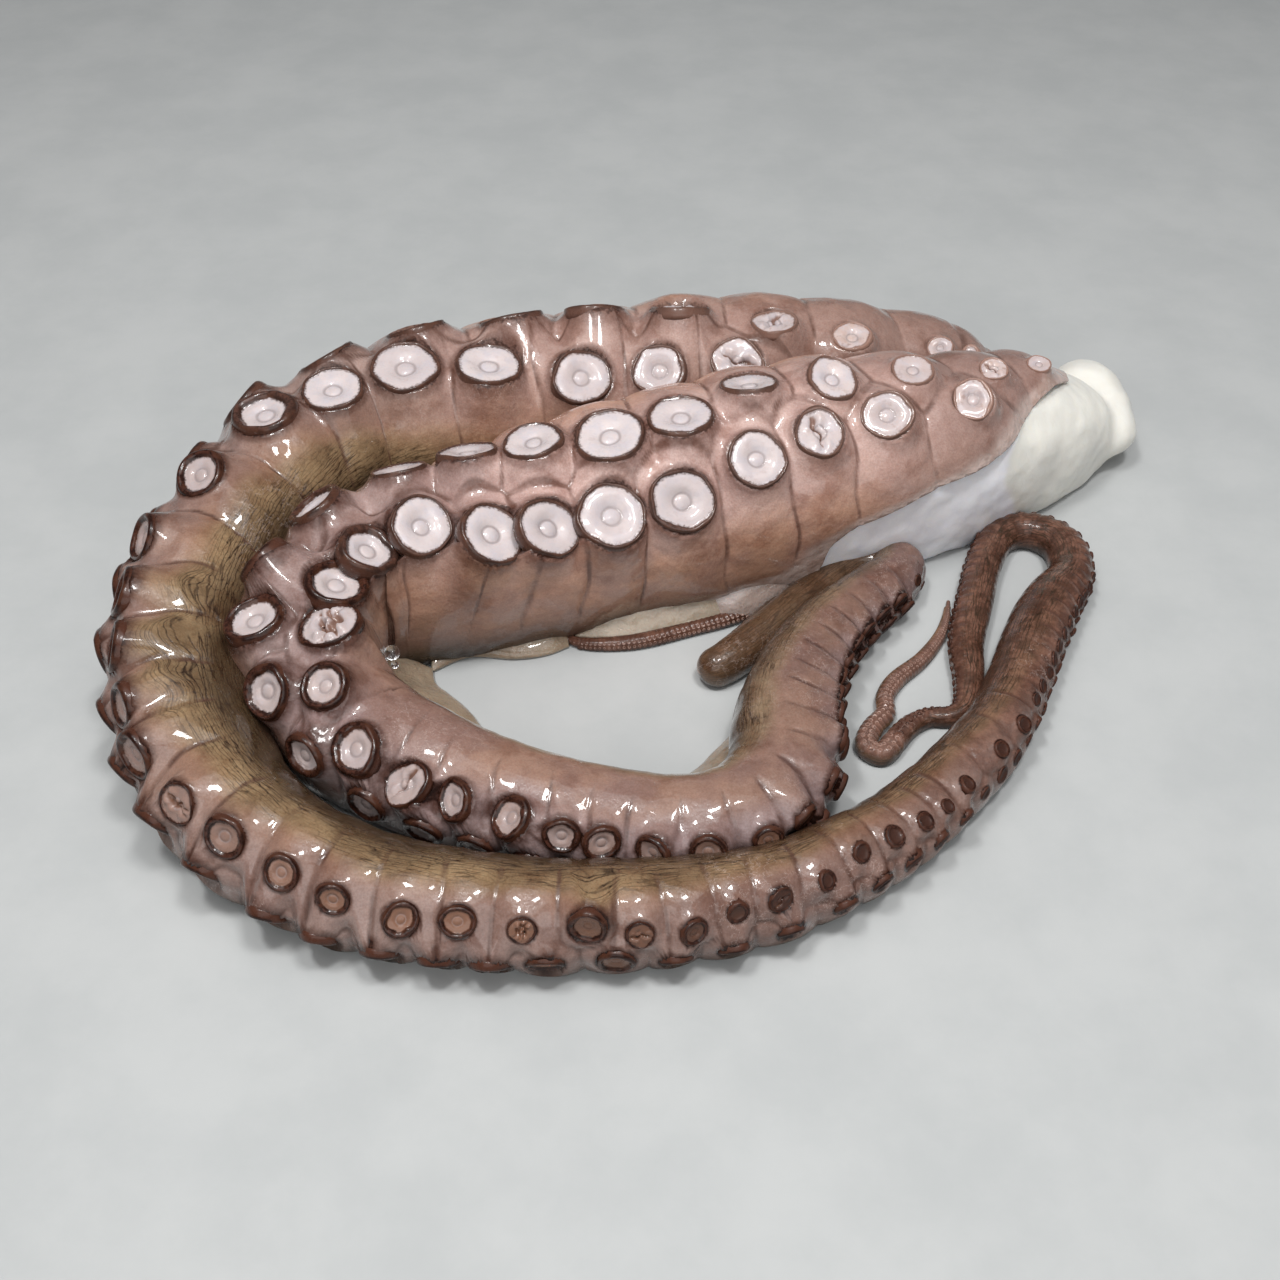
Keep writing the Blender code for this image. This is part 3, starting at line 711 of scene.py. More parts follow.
def cut_skin(mesh):
    """Takes the skin off the cut base along SKIN_END, and turns its edge in."""
    angle = np.degrees(stored(mesh, "angle"))
    distance = stored(mesh, "distance")
    places = mesh_places(mesh)
    wander = 1.4 * lumps(places, 9.0, 31) + 0.3 * lumps(places, 3.5, 32)
    inside = distance - looked_up(angle, SKIN_END) + wander
    under = -angle - looked_up(distance, MEMBRANE_START) + 2.0 * lumps(places, 12.0, 33)
    membrane = smoothstep(*MEMBRANE_EDGE, under) * smoothstep(*MEMBRANE_END, distance)
    bare = np.maximum(smoothstep(THINNING_WIDTH, 0.0, inside), MEMBRANE_THINNING * membrane)
    mesh.attributes["bare"].data.foreach_set("value", bare.astype(np.float32))
    store(mesh, "inside", inside)
    shape = bmesh.new()
    shape.from_mesh(mesh)
    thinned = shape.verts.layers.float["bare"]
    for vert in shape.verts:
        vert.co -= vert.normal * vert[thinned] * THINNING * MM
    layer = shape.verts.layers.float["inside"]
    edges = [edge for edge in shape.edges if edge.verts[0][layer] * edge.verts[1][layer] < 0.0]
    fresh = set()
    for edge in edges:
        first, second = edge.verts
        share = first[layer] / (first[layer] - second[layer])
        _, vert = bmesh.utils.edge_split(edge, first, share)
        vert[layer] = 0.0
        fresh.add(vert)
    for face in list(shape.faces):
        marked = [vert for vert in face.verts if vert in fresh]
        if len(marked) == 2:
            bmesh.utils.face_split(face, *marked)
    off = [face for face in shape.faces if sum(vert[layer] for vert in face.verts) < 0.0]
    bmesh.ops.delete(shape, geom=off, context="FACES")
    shape.normal_update()
    rim = [edge for edge in shape.edges if edge.is_boundary]
    normals = {vert.co.copy().freeze(): vert.normal.copy() for edge in rim for vert in edge.verts}
    turned = bmesh.ops.extrude_edge_only(shape, edges=rim)["geom"]
    for vert in (item for item in turned if isinstance(item, bmesh.types.BMVert)):
        vert.co -= normals[vert.co.copy().freeze()] * LIP * MM
    shape.to_mesh(mesh)
    shape.free()


def place_on_route(route, places):
    """Distance along the route and angle round it of places near it."""
    line = np.stack([route.x - MIDDLE[0], route.y - MIDDLE[1]], -1)
    nearest = np.array([np.argmin(((line - place) ** 2).sum(1)) for place in places[:, :2]])
    distance = route.distance[nearest]
    _, _, heading, _, centre = route.at(distance)
    from_centre = places - centre
    across = (from_centre * outward(heading)).sum(1)
    return distance, np.arctan2(across, from_centre[:, 2])


# --- Pieces ----------------------------------------------------------------------------------

def scene_object(name, data):
    """A new object of this data, in the scene."""
    made = bpy.data.objects.new(name, data)
    bpy.context.scene.collection.objects.link(made)
    return made


def piece(mesh, material=None):
    """Puts a finished mesh in the scene as a piece that stands for the arms' solid."""
    made = scene_object(mesh.name, mesh)
    if material:
        mesh.materials.clear()
        mesh.materials.append(material)
    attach(made, BODY)
    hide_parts(NODE)


def evaluated_mesh(made, name):
    """The object's mesh with its modifiers applied. The object itself is removed."""
    bpy.context.view_layer.update()
    graph = bpy.context.evaluated_depsgraph_get()
    mesh = bpy.data.meshes.new_from_object(
        made.evaluated_get(graph), preserve_all_data_layers=True, depsgraph=graph,
    )
    mesh.name = name
    bpy.data.objects.remove(made)
    return mesh


def add_ball(shape, middle, half_sizes, subdivisions):
    """Adds a ball, stretched to its half sizes, to a bmesh."""
    x, y, z = middle
    place = Matrix.Translation(Vector((x - MIDDLE[0], y - MIDDLE[1], z)) * MM)
    size = Matrix.Diagonal((*half_sizes, 1.0))
    bmesh.ops.create_icosphere(shape, subdivisions=subdivisions, radius=MM, matrix=place @ size)


CORE_ROWS = np.linspace(1.0, 112.0, 90)     # the rings' distances along the arm
CORE_SIDES = 72
FLESH_VOXEL = 0.9


def cut_flesh(route):
    """The white flesh at the base: the arm's core and the lumps of its cut end, as one."""
    half_width, _, heading, _, centre = route.at(CORE_ROWS)
    angle = np.linspace(-np.pi, np.pi, CORE_SIDES, endpoint=False)
    radius = (half_width - FLESH_DEPTH)[:, None, None]
    around = (
        slumped(angle[None, :], half_width[:, None])[..., None] * outward(heading)[:, None, :]
        + np.cos(angle)[None, :, None] * np.array([0.0, 0.0, 1.0])
    )
    places = centre[:, None, :] + radius * around
    index = np.arange(len(CORE_ROWS) * CORE_SIDES).reshape(-1, CORE_SIDES)
    ends = [index[0][::-1].tolist(), index[-1].tolist()]
    core = plain_mesh("core", places.reshape(-1, 3), quads(index) + ends)
    shape = bmesh.new()
    shape.from_mesh(core)
    for lobe in LOBES:
        add_ball(shape, lobe[:3], lobe[3:], 4)
    shape.to_mesh(core)
    shape.free()
    made = scene_object("cut_flesh", core)
    remesh = made.modifiers.new("remesh", "REMESH")
    remesh.mode = "VOXEL"
    remesh.voxel_size = FLESH_VOXEL * MM
    smooth = made.modifiers.new("smooth", "SMOOTH")
    smooth.factor = 0.5
    smooth.iterations = 12
    mesh = evaluated_mesh(made, "cut_flesh")
    mesh.shade_smooth()
    places = mesh_places(mesh)
    distance, angle = place_on_route(route, places)
    normals = np.empty(3 * len(mesh.vertices), np.float32)
    mesh.vertices.foreach_get("normal", normals)
    rough = 0.75 * lumps(places, 11.0, 41) + 0.25 * lumps(places, 4.0, 42)
    places = places + normals.reshape(-1, 3) * rough[:, None]
    places[:, 2] = np.maximum(places[:, 2], FLOOR_GAP)
    mesh.vertices.foreach_set("co", np.ascontiguousarray(places * MM, np.float32).ravel())
    edge = distance - looked_up(np.degrees(angle), LINING_START) + 2.0 * lumps(places, 8.0, 43)
    store(mesh, "lining", smoothstep(-1.0, 1.5, edge))
    mesh.update()
    return mesh


# --- Webs of skin ----------------------------------------------------------------------------

# Each web's name, its rails from inside the arm to its border, thickness, ruffles and paint.
WEBS = (
    ("olive_flap", (
        ((-50, -5, 4), (-42, 0, 4), (-31, 0, 4), (-23, 1, 4), (-18, 3, 3)),
        ((-51, -9, 2.2), (-42, -4.5, 2.4), (-31, -5, 2.4), (-23, -3.5, 2.2), (-18, -0.5, 1.8)),
        ((-51, -12, 0.5), (-42, -6.8, 0.5), (-31, -7.4, 0.5), (-23, -6, 0.5), (-17.5, -3, 0.5)),
    ), 1.0, 0.15, "olive_web"),
    ("glossy_flap", (
        ((-13, 8, 5), (-5, 8, 7), (4, 7.5, 8), (14, 8.5, 8), (23, 10.5, 6), (27, 11.5, 3)),
        (
            (-15.5, 2.5, 3.2), (-7, 3, 5.0), (3, 3.2, 5.6), (13, 5, 5.4), (22, 8.2, 4.0),
            (27, 10.3, 2.2),
        ),
        (
            (-16.5, -0.5, 1.0), (-11, -1.7, 1.0), (-1, -1.2, 1.0), (10, 1.6, 1.0),
            (19.5, 5.5, 1.2), (26.5, 9.2, 1.2),
        ),
    ), 1.6, 0.40, "glossy_web"),
    ("corner_web", (
        ((-60, -8, 7), (-62, -18, 8), (-59, -27, 8), (-50, -36, 6), (-41, -42, 4)),
        ((-55, -10, 3), (-54.5, -18, 4.0), (-50.5, -24, 4.2), (-44, -30.5, 3.6), (-38, -38, 2.5)),
        ((-50.5, -11, 0.5), (-49, -16, 0.5), (-45, -20, 0.5), (-39.5, -26, 0.5), (-33, -37, 0.5)),
    ), 1.2, 0.25, "olive_web"),
    ("front_web", (
        ((5, -57, 4), (15, -54, 6), (22, -47, 7), (28, -38, 6), (33, -27, 4)),
        ((5, -52.5, 2), (12.5, -48.5, 3.2), (18, -43, 3.4), (22.5, -36, 3.0), (30, -26.5, 2)),
        ((3, -50, 0.5), (9, -46.2, 0.5), (14, -41.8, 0.5), (18.8, -35.5, 0.5), (27, -24.5, 0.5)),
    ), 1.0, 0.2, "olive_web"),
    ("pale_membrane", (
        ((12, 10, 7), (26, 12, 11), (38, 17.5, 13.5), (50, 25, 15), (62, 31, 16), (74, 36, 17)),
        (
            (13, 7.2, 4), (25.5, 8.2, 6.5), (36.5, 13.2, 8), (47.5, 20.8, 9), (59, 26.8, 10),
            (72, 32, 10),
        ),
        (
            (14, 5.6, 1), (25.3, 6.2, 1.2), (35.8, 11.4, 1.2), (46, 18.6, 1.2), (57, 24.6, 1.2),
            (70, 29, 1.2),
        ),
    ), 1.2, 0.25, "pale_web"),
)
WEB_GRID = (90, 16)     # rows along a web's rails, and points across them
RAIL_STEPS = 40


# Drops of water: x, y and z of the middle, radius and height, in millimetres.
DROPS = ((-57.4, -21.8, 17.0, 1.9, 1.7), (-56.2, -26.0, 17.2, 0.9, 0.8))


def drop_mesh():
    shape = bmesh.new()
    for x, y, z, radius, height in DROPS:
        add_ball(shape, (x, y, z), (radius, radius, height), 3)
    mesh = bpy.data.meshes.new("water_drops")
    shape.to_mesh(mesh)
    shape.free()
    mesh.shade_smooth()
    return mesh


def resampled(line, steps):
    """A line's points at equal shares of its length in points."""
    share = np.linspace(0.0, 1.0, len(line))
    wanted = np.linspace(0.0, 1.0, steps)
    return np.stack([np.interp(wanted, share, line[:, axis]) for axis in range(3)], -1)


def web_mesh(name, rails, thickness, ruffle, seed):
    """A thin closed sheet through rails of (x, y, z) points, thinning at its border."""
    rows, wide = WEB_GRID
    lines = [resampled(through(rail, RAIL_STEPS), rows) for rail in rails]
    grid = np.array([
        resampled(through([line[k] for line in lines], RAIL_STEPS), wide) for k in range(rows)
    ])
    grid = grid - np.array([*MIDDLE, 0.0])
    normal = np.cross(np.gradient(grid, axis=0), np.gradient(grid, axis=1))
    normal /= np.maximum(np.linalg.norm(normal, axis=-1, keepdims=True), 1e-9)
    normal *= np.sign(normal[..., 2].mean())
    u, v = np.meshgrid(np.linspace(-1, 1, rows), np.linspace(-1, 1, wide), indexing="ij")
    taper = np.sqrt(np.clip(1.0 - np.maximum(np.abs(u) ** 14, np.abs(v) ** 6), 0.0, 1.0))
    rough = lumps(grid, 7.0, seed) + 0.4 * lumps(grid, 2.5, seed + 1)
    grid = grid + normal * (ruffle * rough)[..., None]
    half = (0.5 * thickness * taper)[..., None]
    top = grid + normal * half
    under = grid - normal * half
    top[..., 2] = np.maximum(top[..., 2], FLOOR_GAP + 0.1)
    under[..., 2] = np.maximum(under[..., 2], FLOOR_GAP)
    index = np.arange(rows * wide).reshape(rows, wide)
    below = index.copy()
    inner = below[1:-1, 1:-1]
    inner[...] = rows * wide + np.arange(inner.size).reshape(inner.shape)
    faces = []
    for numbers, turn in ((index, 1), (below, -1)):
        corners = (numbers[:-1, :-1], numbers[1:, :-1], numbers[1:, 1:], numbers[:-1, 1:])
        faces += np.stack(corners, -1).reshape(-1, 4)[:, ::turn].tolist()
    places = np.vstack([top.reshape(-1, 3), under[1:-1, 1:-1].reshape(-1, 3)])
    mesh = plain_mesh(name, places, faces)
    shape = bmesh.new()
    shape.from_mesh(mesh)
    bmesh.ops.recalc_face_normals(shape, faces=shape.faces)
    shape.to_mesh(mesh)
    shape.free()
    store(mesh, "rim", np.concatenate([(1.0 - taper).ravel(), (1.0 - taper[1:-1, 1:-1]).ravel()]))
    return mesh


# --- Suckers' discs --------------------------------------------------------------------------

# Radius and height over the rim's plane, in sucker radii, from the skirt to the middle. A narrow
# rim is for the suckers near the base, a broad and swollen one for those further along.
NARROW_PROFILE = (
    (1.07, -0.40), (1.055, -0.22), (1.04, -0.09), (1.02, -0.02), (0.99, 0.01), (0.96, 0.0),
    (0.93, -0.04), (0.90, -0.06), (0.83, -0.065), (0.72, -0.07), (0.58, -0.085), (0.44, -0.11),
    (0.34, -0.145), (0.29, -0.170), (0.25, -0.168), (0.20, -0.140), (0.13, -0.122), (0.06, -0.115),
)
BROAD_PROFILE = (
    (1.08, -0.45), (1.065, -0.22), (1.045, -0.06), (1.01, 0.03), (0.96, 0.085), (0.90, 0.105),
    (0.84, 0.09), (0.78, 0.03), (0.725, -0.055), (0.67, -0.085), (0.58, -0.08), (0.46, -0.10),
    (0.35, -0.140), (0.30, -0.165), (0.26, -0.162), (0.21, -0.132), (0.14, -0.112), (0.06, -0.105),
)
CUP_PROFILE = ((1.22, -0.7), (1.08, -0.10), (0.92, 0.08), (0.66, -0.12), (0.35, -0.20))
NARROW_EDGE = 0.93          # where the plate ends
BROAD_EDGE = 0.73
CUP_EDGE = 0.70


def disc_mesh(name, profile, plate_edge, sides, waves, lip, bulge, folds, seed):
    """A sucker's disc of radius 1 with an uneven outline, and folded where `folds` says.

    `lip` is how far the rim's fold lies over the plate on its widest side, and `bulge` how far
    the plate swells, both in radii.
    """
    draw = random.Random(seed)
    angle = np.linspace(0.0, 2.0 * np.pi, sides, endpoint=False)
    outline = np.ones(sides)
    for wave, size in enumerate(waves, start=2):
        outline += size * np.cos(wave * angle + draw.uniform(0.0, 2.0 * np.pi))
    side_of_lip = draw.uniform(0.0, 2.0 * np.pi)
    over = lip * np.maximum(np.cos(angle - side_of_lip), 0.0) ** 1.5
    over += 0.25 * lip * np.cos(5.0 * angle + draw.uniform(0.0, 2.0 * np.pi))
    over += 0.012 * np.cos(9.0 * angle + draw.uniform(0.0, 2.0 * np.pi))
    radius = np.array([entry[0] for entry in profile])[:, None]
    height = np.array([entry[1] for entry in profile])[:, None] * np.ones(sides)
    uneven = 1.0 + (outline - 1.0) * smoothstep(0.25, 0.75, radius)
    inward = over * smoothstep(0.30, plate_edge, radius) * smoothstep(1.02, plate_edge, radius)
    fold = smoothstep(plate_edge - 0.06, plate_edge, radius)
    height = height + 0.30 * np.maximum(inward, 0.0) * fold
    middle = 0.5 * (plate_edge + 0.33)
    swollen = 1.0 - ((radius - middle) / (plate_edge - middle)) ** 2
    height = height + bulge * np.maximum(swollen, 0.0)
    x = (radius * uneven - inward) * np.cos(angle)
    y = (radius * uneven - inward) * np.sin(angle)
    crack = np.zeros(x.shape)
    for _ in range(folds):
        turn = draw.uniform(0.0, np.pi)
        offset = draw.uniform(-0.3, 0.3)
        line = x * math.cos(turn) + y * math.sin(turn) - offset
        run = y * math.cos(turn) - x * math.sin(turn)
        line += 0.13 * np.sin(4.0 * run + seed) + 0.06 * np.sin(11.0 * run + 2.0 * seed)
        reach = smoothstep(0.93, 0.62, radius)
        width = 0.08 + 0.05 * np.sin(3.0 * run + seed)
        crack = np.maximum(crack, np.exp(-(line / width) ** 2) * reach)
        height = height + 0.10 * reach * np.exp(-((np.abs(line) - 0.26) / 0.15) ** 2)
    height = height - 0.22 * crack
    places = np.stack([x, y, height], -1).reshape(-1, 3)
    index = np.arange(len(profile) * sides).reshape(len(profile), sides)
    top = [0.0, 0.0, profile[-1][1] + 0.003]
    bottom = [0.0, 0.0, profile[0][1]]
    places = np.vstack([places, top, bottom])
    pole = len(places) - 2
    faces = quads(index)
    faces += [(pole, int(index[-1][k - 1]), int(index[-1][k])) for k in range(sides)]
    faces += [(pole + 1, int(index[0][k]), int(index[0][k - 1])) for k in range(sides)]
    mesh = bpy.data.meshes.new(name)
    mesh.from_pydata(places.tolist(), [], faces)
    mesh.shade_smooth()
    # The zone is 0 to 1 over the plate, 1 to 2 over the rim and more on the skirt.
    zone = np.where(
        radius < plate_edge, radius / plate_edge, 1.0 + (radius - plate_edge) / (1.0 - plate_edge)
    )
    zone = np.where(radius > 1.0, 2.0 + (radius - 1.0) / 0.07, zone) * np.ones(sides)
    store(mesh, "zone", np.r_[zone.ravel(), 0.0, 3.0])
    store(mesh, "rho", np.r_[(radius * np.ones(sides)).ravel(), 0.0, profile[0][0]])
    store(mesh, "crack", np.r_[crack.ravel(), crack[-1].mean(), 0.0])
    return mesh


NARROW_KINDS = tuple(range(0, 8))
BROAD_KINDS = tuple(range(8, 13))
FOLDED_KINDS = tuple(range(13, 16))
CUP_KIND = 16
DISC_SIDES = 48
CUP_SIDES = 12
LIPS = (0.02, 0.05, 0.09, 0.15, 0.03)
WAVES = (0.03, 0.028, 0.02, 0.012)      # the most that an outline's waves stray, in radii
FOLDED_WAVES = (0.04, 0.03, 0.02)
CUP_WAVES = (0.05, 0.03)


def disc_shapes():
    """The collection of discs that the points choose from, in the order of its names."""
    shapes = bpy.data.collections.new("disc_shapes")
    draw = random.Random(5)
    kinds = []
    for number in NARROW_KINDS + BROAD_KINDS:
        narrow = number in NARROW_KINDS
        profile, edge = (NARROW_PROFILE, NARROW_EDGE) if narrow else (BROAD_PROFILE, BROAD_EDGE)
        waves = [size * draw.random() for size in WAVES]
        lip = LIPS[number % len(LIPS)]
        bulge = draw.uniform(0.0, 0.07)
        kinds.append((profile, edge, DISC_SIDES, waves, lip, bulge, 0, 11 + number))
    for folds, number in enumerate(FOLDED_KINDS, start=1):
        shape = (NARROW_PROFILE, NARROW_EDGE, DISC_SIDES, FOLDED_WAVES, 0.10, 0.03)
        kinds.append((*shape, folds, 37 + number))
    kinds.append((CUP_PROFILE, CUP_EDGE, CUP_SIDES, CUP_WAVES, 0.0, 0.0, 0, 77))
    for number, kind in enumerate(kinds):
        name = f"disc_{number:02}"
        shapes.objects.link(bpy.data.objects.new(name, disc_mesh(name, *kind)))
    return shapes


class Nodes:
    """A node tree that is built by calls."""

    def __init__(self, tree):
        self.tree = tree

    def node(self, kind, settings=None, sockets=None, output=0):
        """Adds a node, sets its settings first and then its sockets, and returns an output."""
        made = self.tree.nodes.new(kind)
        for title, value in (settings or {}).items():
            setattr(made, title, value)
        for title, value in (sockets or {}).items():
            self.feed(made.inputs[title], value)
        return Value(self, made.outputs[output])

    def feed(self, socket, value):
        if isinstance(value, Value):
            self.tree.links.new(value.socket, socket)
        elif value is not None:
            if socket.type == "RGBA" and len(value) == 3:
                value = (*value, 1.0)
            socket.default_value = value

    def math(self, operation, first, second):
        return self.node("ShaderNodeMath", {"operation": operation}, {0: first, 1: second})

    def vector(self, operation, first, second):
        sockets = {0: first, 1: second}
        if operation == "SCALE":
            sockets = {0: first, "Scale": second}
        return self.node("ShaderNodeVectorMath", {"operation": operation}, sockets)


class Value:
    """One output in a node tree. Arithmetic on it adds Math nodes."""

    def __init__(self, nodes, socket):
        self.nodes = nodes
        self.socket = socket

    def __add__(self, other):
        return self.nodes.math("ADD", self, other)

    def __sub__(self, other):
        return self.nodes.math("SUBTRACT", self, other)

    def __rsub__(self, other):
        return self.nodes.math("SUBTRACT", other, self)

    def __mul__(self, other):
        return self.nodes.math("MULTIPLY", self, other)

    __radd__ = __add__
    __rmul__ = __mul__


def disc_tree(material):
    """Sets a disc on every point, as its attributes say, and makes the outlines uneven."""
    tree = bpy.data.node_groups.new("sucker_discs", "GeometryNodeTree")
    for title, kind in (
        ("Points", "Geometry"), ("Shapes", "Collection"), ("Unevenness", "Float"),
        ("Lumps per Metre", "Float"),
    ):
        tree.interface.new_socket(title, in_out="INPUT", socket_type=f"NodeSocket{kind}")
    tree.interface.new_socket("Discs", in_out="OUTPUT", socket_type="NodeSocketGeometry")
    nodes = Nodes(tree)
    given = tree.nodes.new("NodeGroupInput")
    points, shapes, unevenness, density = (Value(nodes, given.outputs[k]) for k in range(4))

    def named(title, data_type):
        settings = {"data_type": data_type}
        return nodes.node("GeometryNodeInputNamedAttribute", settings, {"Name": title})

    choices = nodes.node(
        "GeometryNodeCollectionInfo", {"transform_space": "ORIGINAL"},
        {"Collection": shapes, "Separate Children": True, "Reset Children": True},
    )
    turn = nodes.node("FunctionNodeEulerToRotation", None, {0: named("turn", "FLOAT_VECTOR")})
    discs = nodes.node(
        "GeometryNodeInstanceOnPoints", None,
        {
            "Points": points, "Instance": choices, "Pick Instance": True,
            "Instance Index": named("kind", "INT"), "Rotation": turn,
            "Scale": named("scale", "FLOAT_VECTOR"),
        },
    )
    discs = nodes.node("GeometryNodeRealizeInstances", None, {"Geometry": discs})
    place = nodes.node("GeometryNodeInputPosition")
    waves = nodes.node(
        "ShaderNodeTexNoise", None, {"Vector": place, "Scale": density, "Detail": 1.0}, output=1,
    )
    shift = nodes.vector("SUBTRACT", waves, (0.5, 0.5, 0.5))
    shift = nodes.vector("SCALE", shift, unevenness * named("size", "FLOAT"))
    discs = nodes.node("GeometryNodeSetPosition", None, {"Geometry": discs, "Offset": shift})
    discs = nodes.node("GeometryNodeSetMaterial", None, {"Geometry": discs, "Material": material})
    result = tree.nodes.new("NodeGroupOutput")
    tree.links.new(discs.socket, result.inputs[0])
    return tree


UNEVENNESS = 0.09           # of the discs' outlines, in their radii
LUMPS_PER_METRE = 190.0


def disc_pieces(name, suckers, whiteness, shapes, tree):
    """The discs of some suckers, as one mesh."""
    points = bpy.data.meshes.new("points")
    points.from_pydata([sucker.rim * MM for sucker in suckers], [], [])
    turns, scales = [], []
    for sucker in suckers:
        ahead = (sucker.travel - sucker.face * sucker.travel.dot(sucker.face)).normalized()
        square = Matrix((ahead, sucker.face.cross(ahead), sucker.face)).transposed()
        turns.append((square @ Matrix.Rotation(sucker.turn, 3, "Z")).to_euler())
        radius = sucker.radius * MM
        scales.append((radius * sucker.stretch, radius / sucker.stretch, radius))
    distances = [sucker.distance for sucker in suckers]
    for title, data_type, key, values in (
        ("turn", "FLOAT_VECTOR", "vector", turns), ("scale", "FLOAT_VECTOR", "vector", scales),
        ("kind", "INT", "value", [sucker.kind for sucker in suckers]),
        ("size", "FLOAT", "value", [sucker.radius * MM for sucker in suckers]),
        ("tone", "FLOAT", "value", [sucker.tone for sucker in suckers]),
        ("whiteness", "FLOAT", "value", looked_up(distances, whiteness)),
        ("darkness", "FLOAT", "value", looked_up(distances, RIM_DARKNESS)),
    ):
        layer = points.attributes.new(title, data_type, "POINT")
        layer.data.foreach_set(key, np.array(values).ravel())
    made = scene_object(name, points)
    modifier = made.modifiers.new("discs", "NODES")
    modifier.node_group = tree
    settings = {"Shapes": shapes, "Unevenness": UNEVENNESS, "Lumps per Metre": LUMPS_PER_METRE}
    for item in tree.interface.items_tree:
        if item.in_out == "INPUT" and item.name in settings:
            modifier[item.identifier] = settings[item.name]
    mesh = evaluated_mesh(made, name)
    mesh.shade_smooth()
    return mesh


# --- Materials -------------------------------------------------------------------------------

class Paint(Nodes):
    """A material whose shader is fed by expressions."""

    def __init__(self, name, roughness, coat, subsurface=0.0, subsurface_radius=(1.0, 0.45, 0.3)):
        self.material = bpy.data.materials.new(name)
        self.material.use_nodes = True
        super().__init__(self.material.node_tree)
        self.shader = self.tree.nodes["Principled BSDF"]
        for title, value in (
            ("Roughness", roughness), ("Coat Weight", coat), ("Coat Roughness", 0.05),
            ("Subsurface Weight", subsurface), ("Subsurface Scale", 3.0 * MM),
            ("Subsurface Radius", subsurface_radius), ("IOR", 1.40), ("Coat IOR", 1.42),
            ("Specular IOR Level", 0.25),
        ):
            self.shader.inputs[title].default_value = value
        self.place = Value(self, self.tree.nodes.new("ShaderNodeTexCoord").outputs["Object"])

    def attribute(self, title):
        return self.node("ShaderNodeAttribute", {"attribute_name": title}, output=2)

    def attributes(self, *titles):
        return [self.attribute(title) for title in titles]

    def noise(self, per_metre, detail=2.0, rough=0.5):
        sockets = {"Vector": self.place, "Scale": per_metre, "Detail": detail, "Roughness": rough}
        return self.node("ShaderNodeTexNoise", None, sockets)

    def stretch(self, value, low, high, to_low=0.0, to_high=1.0):
        """Maps low to high smoothly, with the ends held."""
        sockets = {0: value, 1: low, 2: high, 3: to_low, 4: to_high}
        return self.node("ShaderNodeMapRange", {"interpolation_type": "SMOOTHSTEP"}, sockets)

    def clouds(self, per_metre, detail, rough, low, high, to_low=0.0, to_high=1.0):
        """Noise, stretched between two of its values."""
        return self.stretch(self.noise(per_metre, detail, rough), low, high, to_low, to_high)

    def mix(self, share, first, second, blend="MIX"):
        settings = {"data_type": "RGBA", "blend_type": blend, "clamp_factor": True}
        return self.node("ShaderNodeMix", settings, {0: share, 6: first, 7: second}, output=2)

    def bump(self, height, millimetres, below=None):
        sockets = {"Height": height, "Distance": millimetres * MM, "Strength": 1.0}
        return self.node("ShaderNodeBump", None, {**sockets, "Normal": below})

    def done(self, colour, normal=None, roughness=None, coat=None):
        titles = ("Base Color", "Normal", "Roughness", "Coat Weight")
        for title, value in zip(titles, (colour, normal, roughness, coat)):
            self.feed(self.shader.inputs[title], value)
        return self.material


# Colours of the skin.
ORAL = (0.350, 0.250, 0.222)
FLANK = (0.320, 0.182, 0.121)
MAUVE = (0.200, 0.115, 0.097)
BASE_PINK = (0.385, 0.242, 0.199)
OLIVE = (0.345, 0.232, 0.128)
DARK_OLIVE = (0.215, 0.138, 0.074)
# Painted shade for the gutter between the arms, where they press together.
GUTTER_SHADE = (0.052, 0.031, 0.016)
LINE_BROWN = (0.040, 0.022, 0.012)
# Painted shade in the creases between the swellings.
CREASE_SHADE = (0.090, 0.044, 0.032)
TIP_BROWN = (0.082, 0.0365, 0.0240)
TIP_FLECK = (0.175, 0.085, 0.058)
# Brown round the rims and on the discs' skirts: the rims' own brown, and painted shade under the
# discs.
HALO_AND_SHADE_BROWN = (0.062, 0.023, 0.014)
BARE_PINK = (0.500, 0.395, 0.355)
# What the skin's blotches, grain, greyness and stains multiply its colour by.
BLOTCH_TINT = (0.78, 0.72, 0.69)
GRAIN_TINT = (0.70, 0.62, 0.58)
GREY_TINT = (0.945, 1.015, 1.15)
STAIN_TINT = (0.62, 0.50, 0.44)
# Colours of the discs.
RIM_BROWN = (0.016, 0.005, 0.003)
RIM_FLECK = (0.060, 0.021, 0.013)
LINE_FLECK = (0.055, 0.020, 0.011)
PALE_RIM = (0.330, 0.200, 0.160)
PALE_LINE = (0.26, 0.15, 0.115)
TAN_PLATE = (0.195, 0.100, 0.066)
BROWN_PLATE = (0.040, 0.016, 0.011)
PINK_PLATE = (0.460, 0.330, 0.285)
WHITE_PLATE = (0.570, 0.505, 0.500)
PLATE_SPOT = (0.200, 0.100, 0.060)
PLATE_CLOUD = (0.46, 0.435, 0.475)
PLATE_TONE = (0.40, 0.335, 0.335)
PLATE_RING = (0.25, 0.205, 0.20)
CRACK_BROWN = (0.150, 0.066, 0.038)
# Two mingling colours each of the cut flesh, its lining and the floor.
CREAM = ((0.68, 0.66, 0.61), (0.74, 0.72, 0.66))
LINING = ((0.84, 0.83, 0.855), (0.74, 0.73, 0.765))
FLOOR = ((0.375, 0.384, 0.382), (0.415, 0.422, 0.418))
WATER = (0.95, 0.97, 1.0)
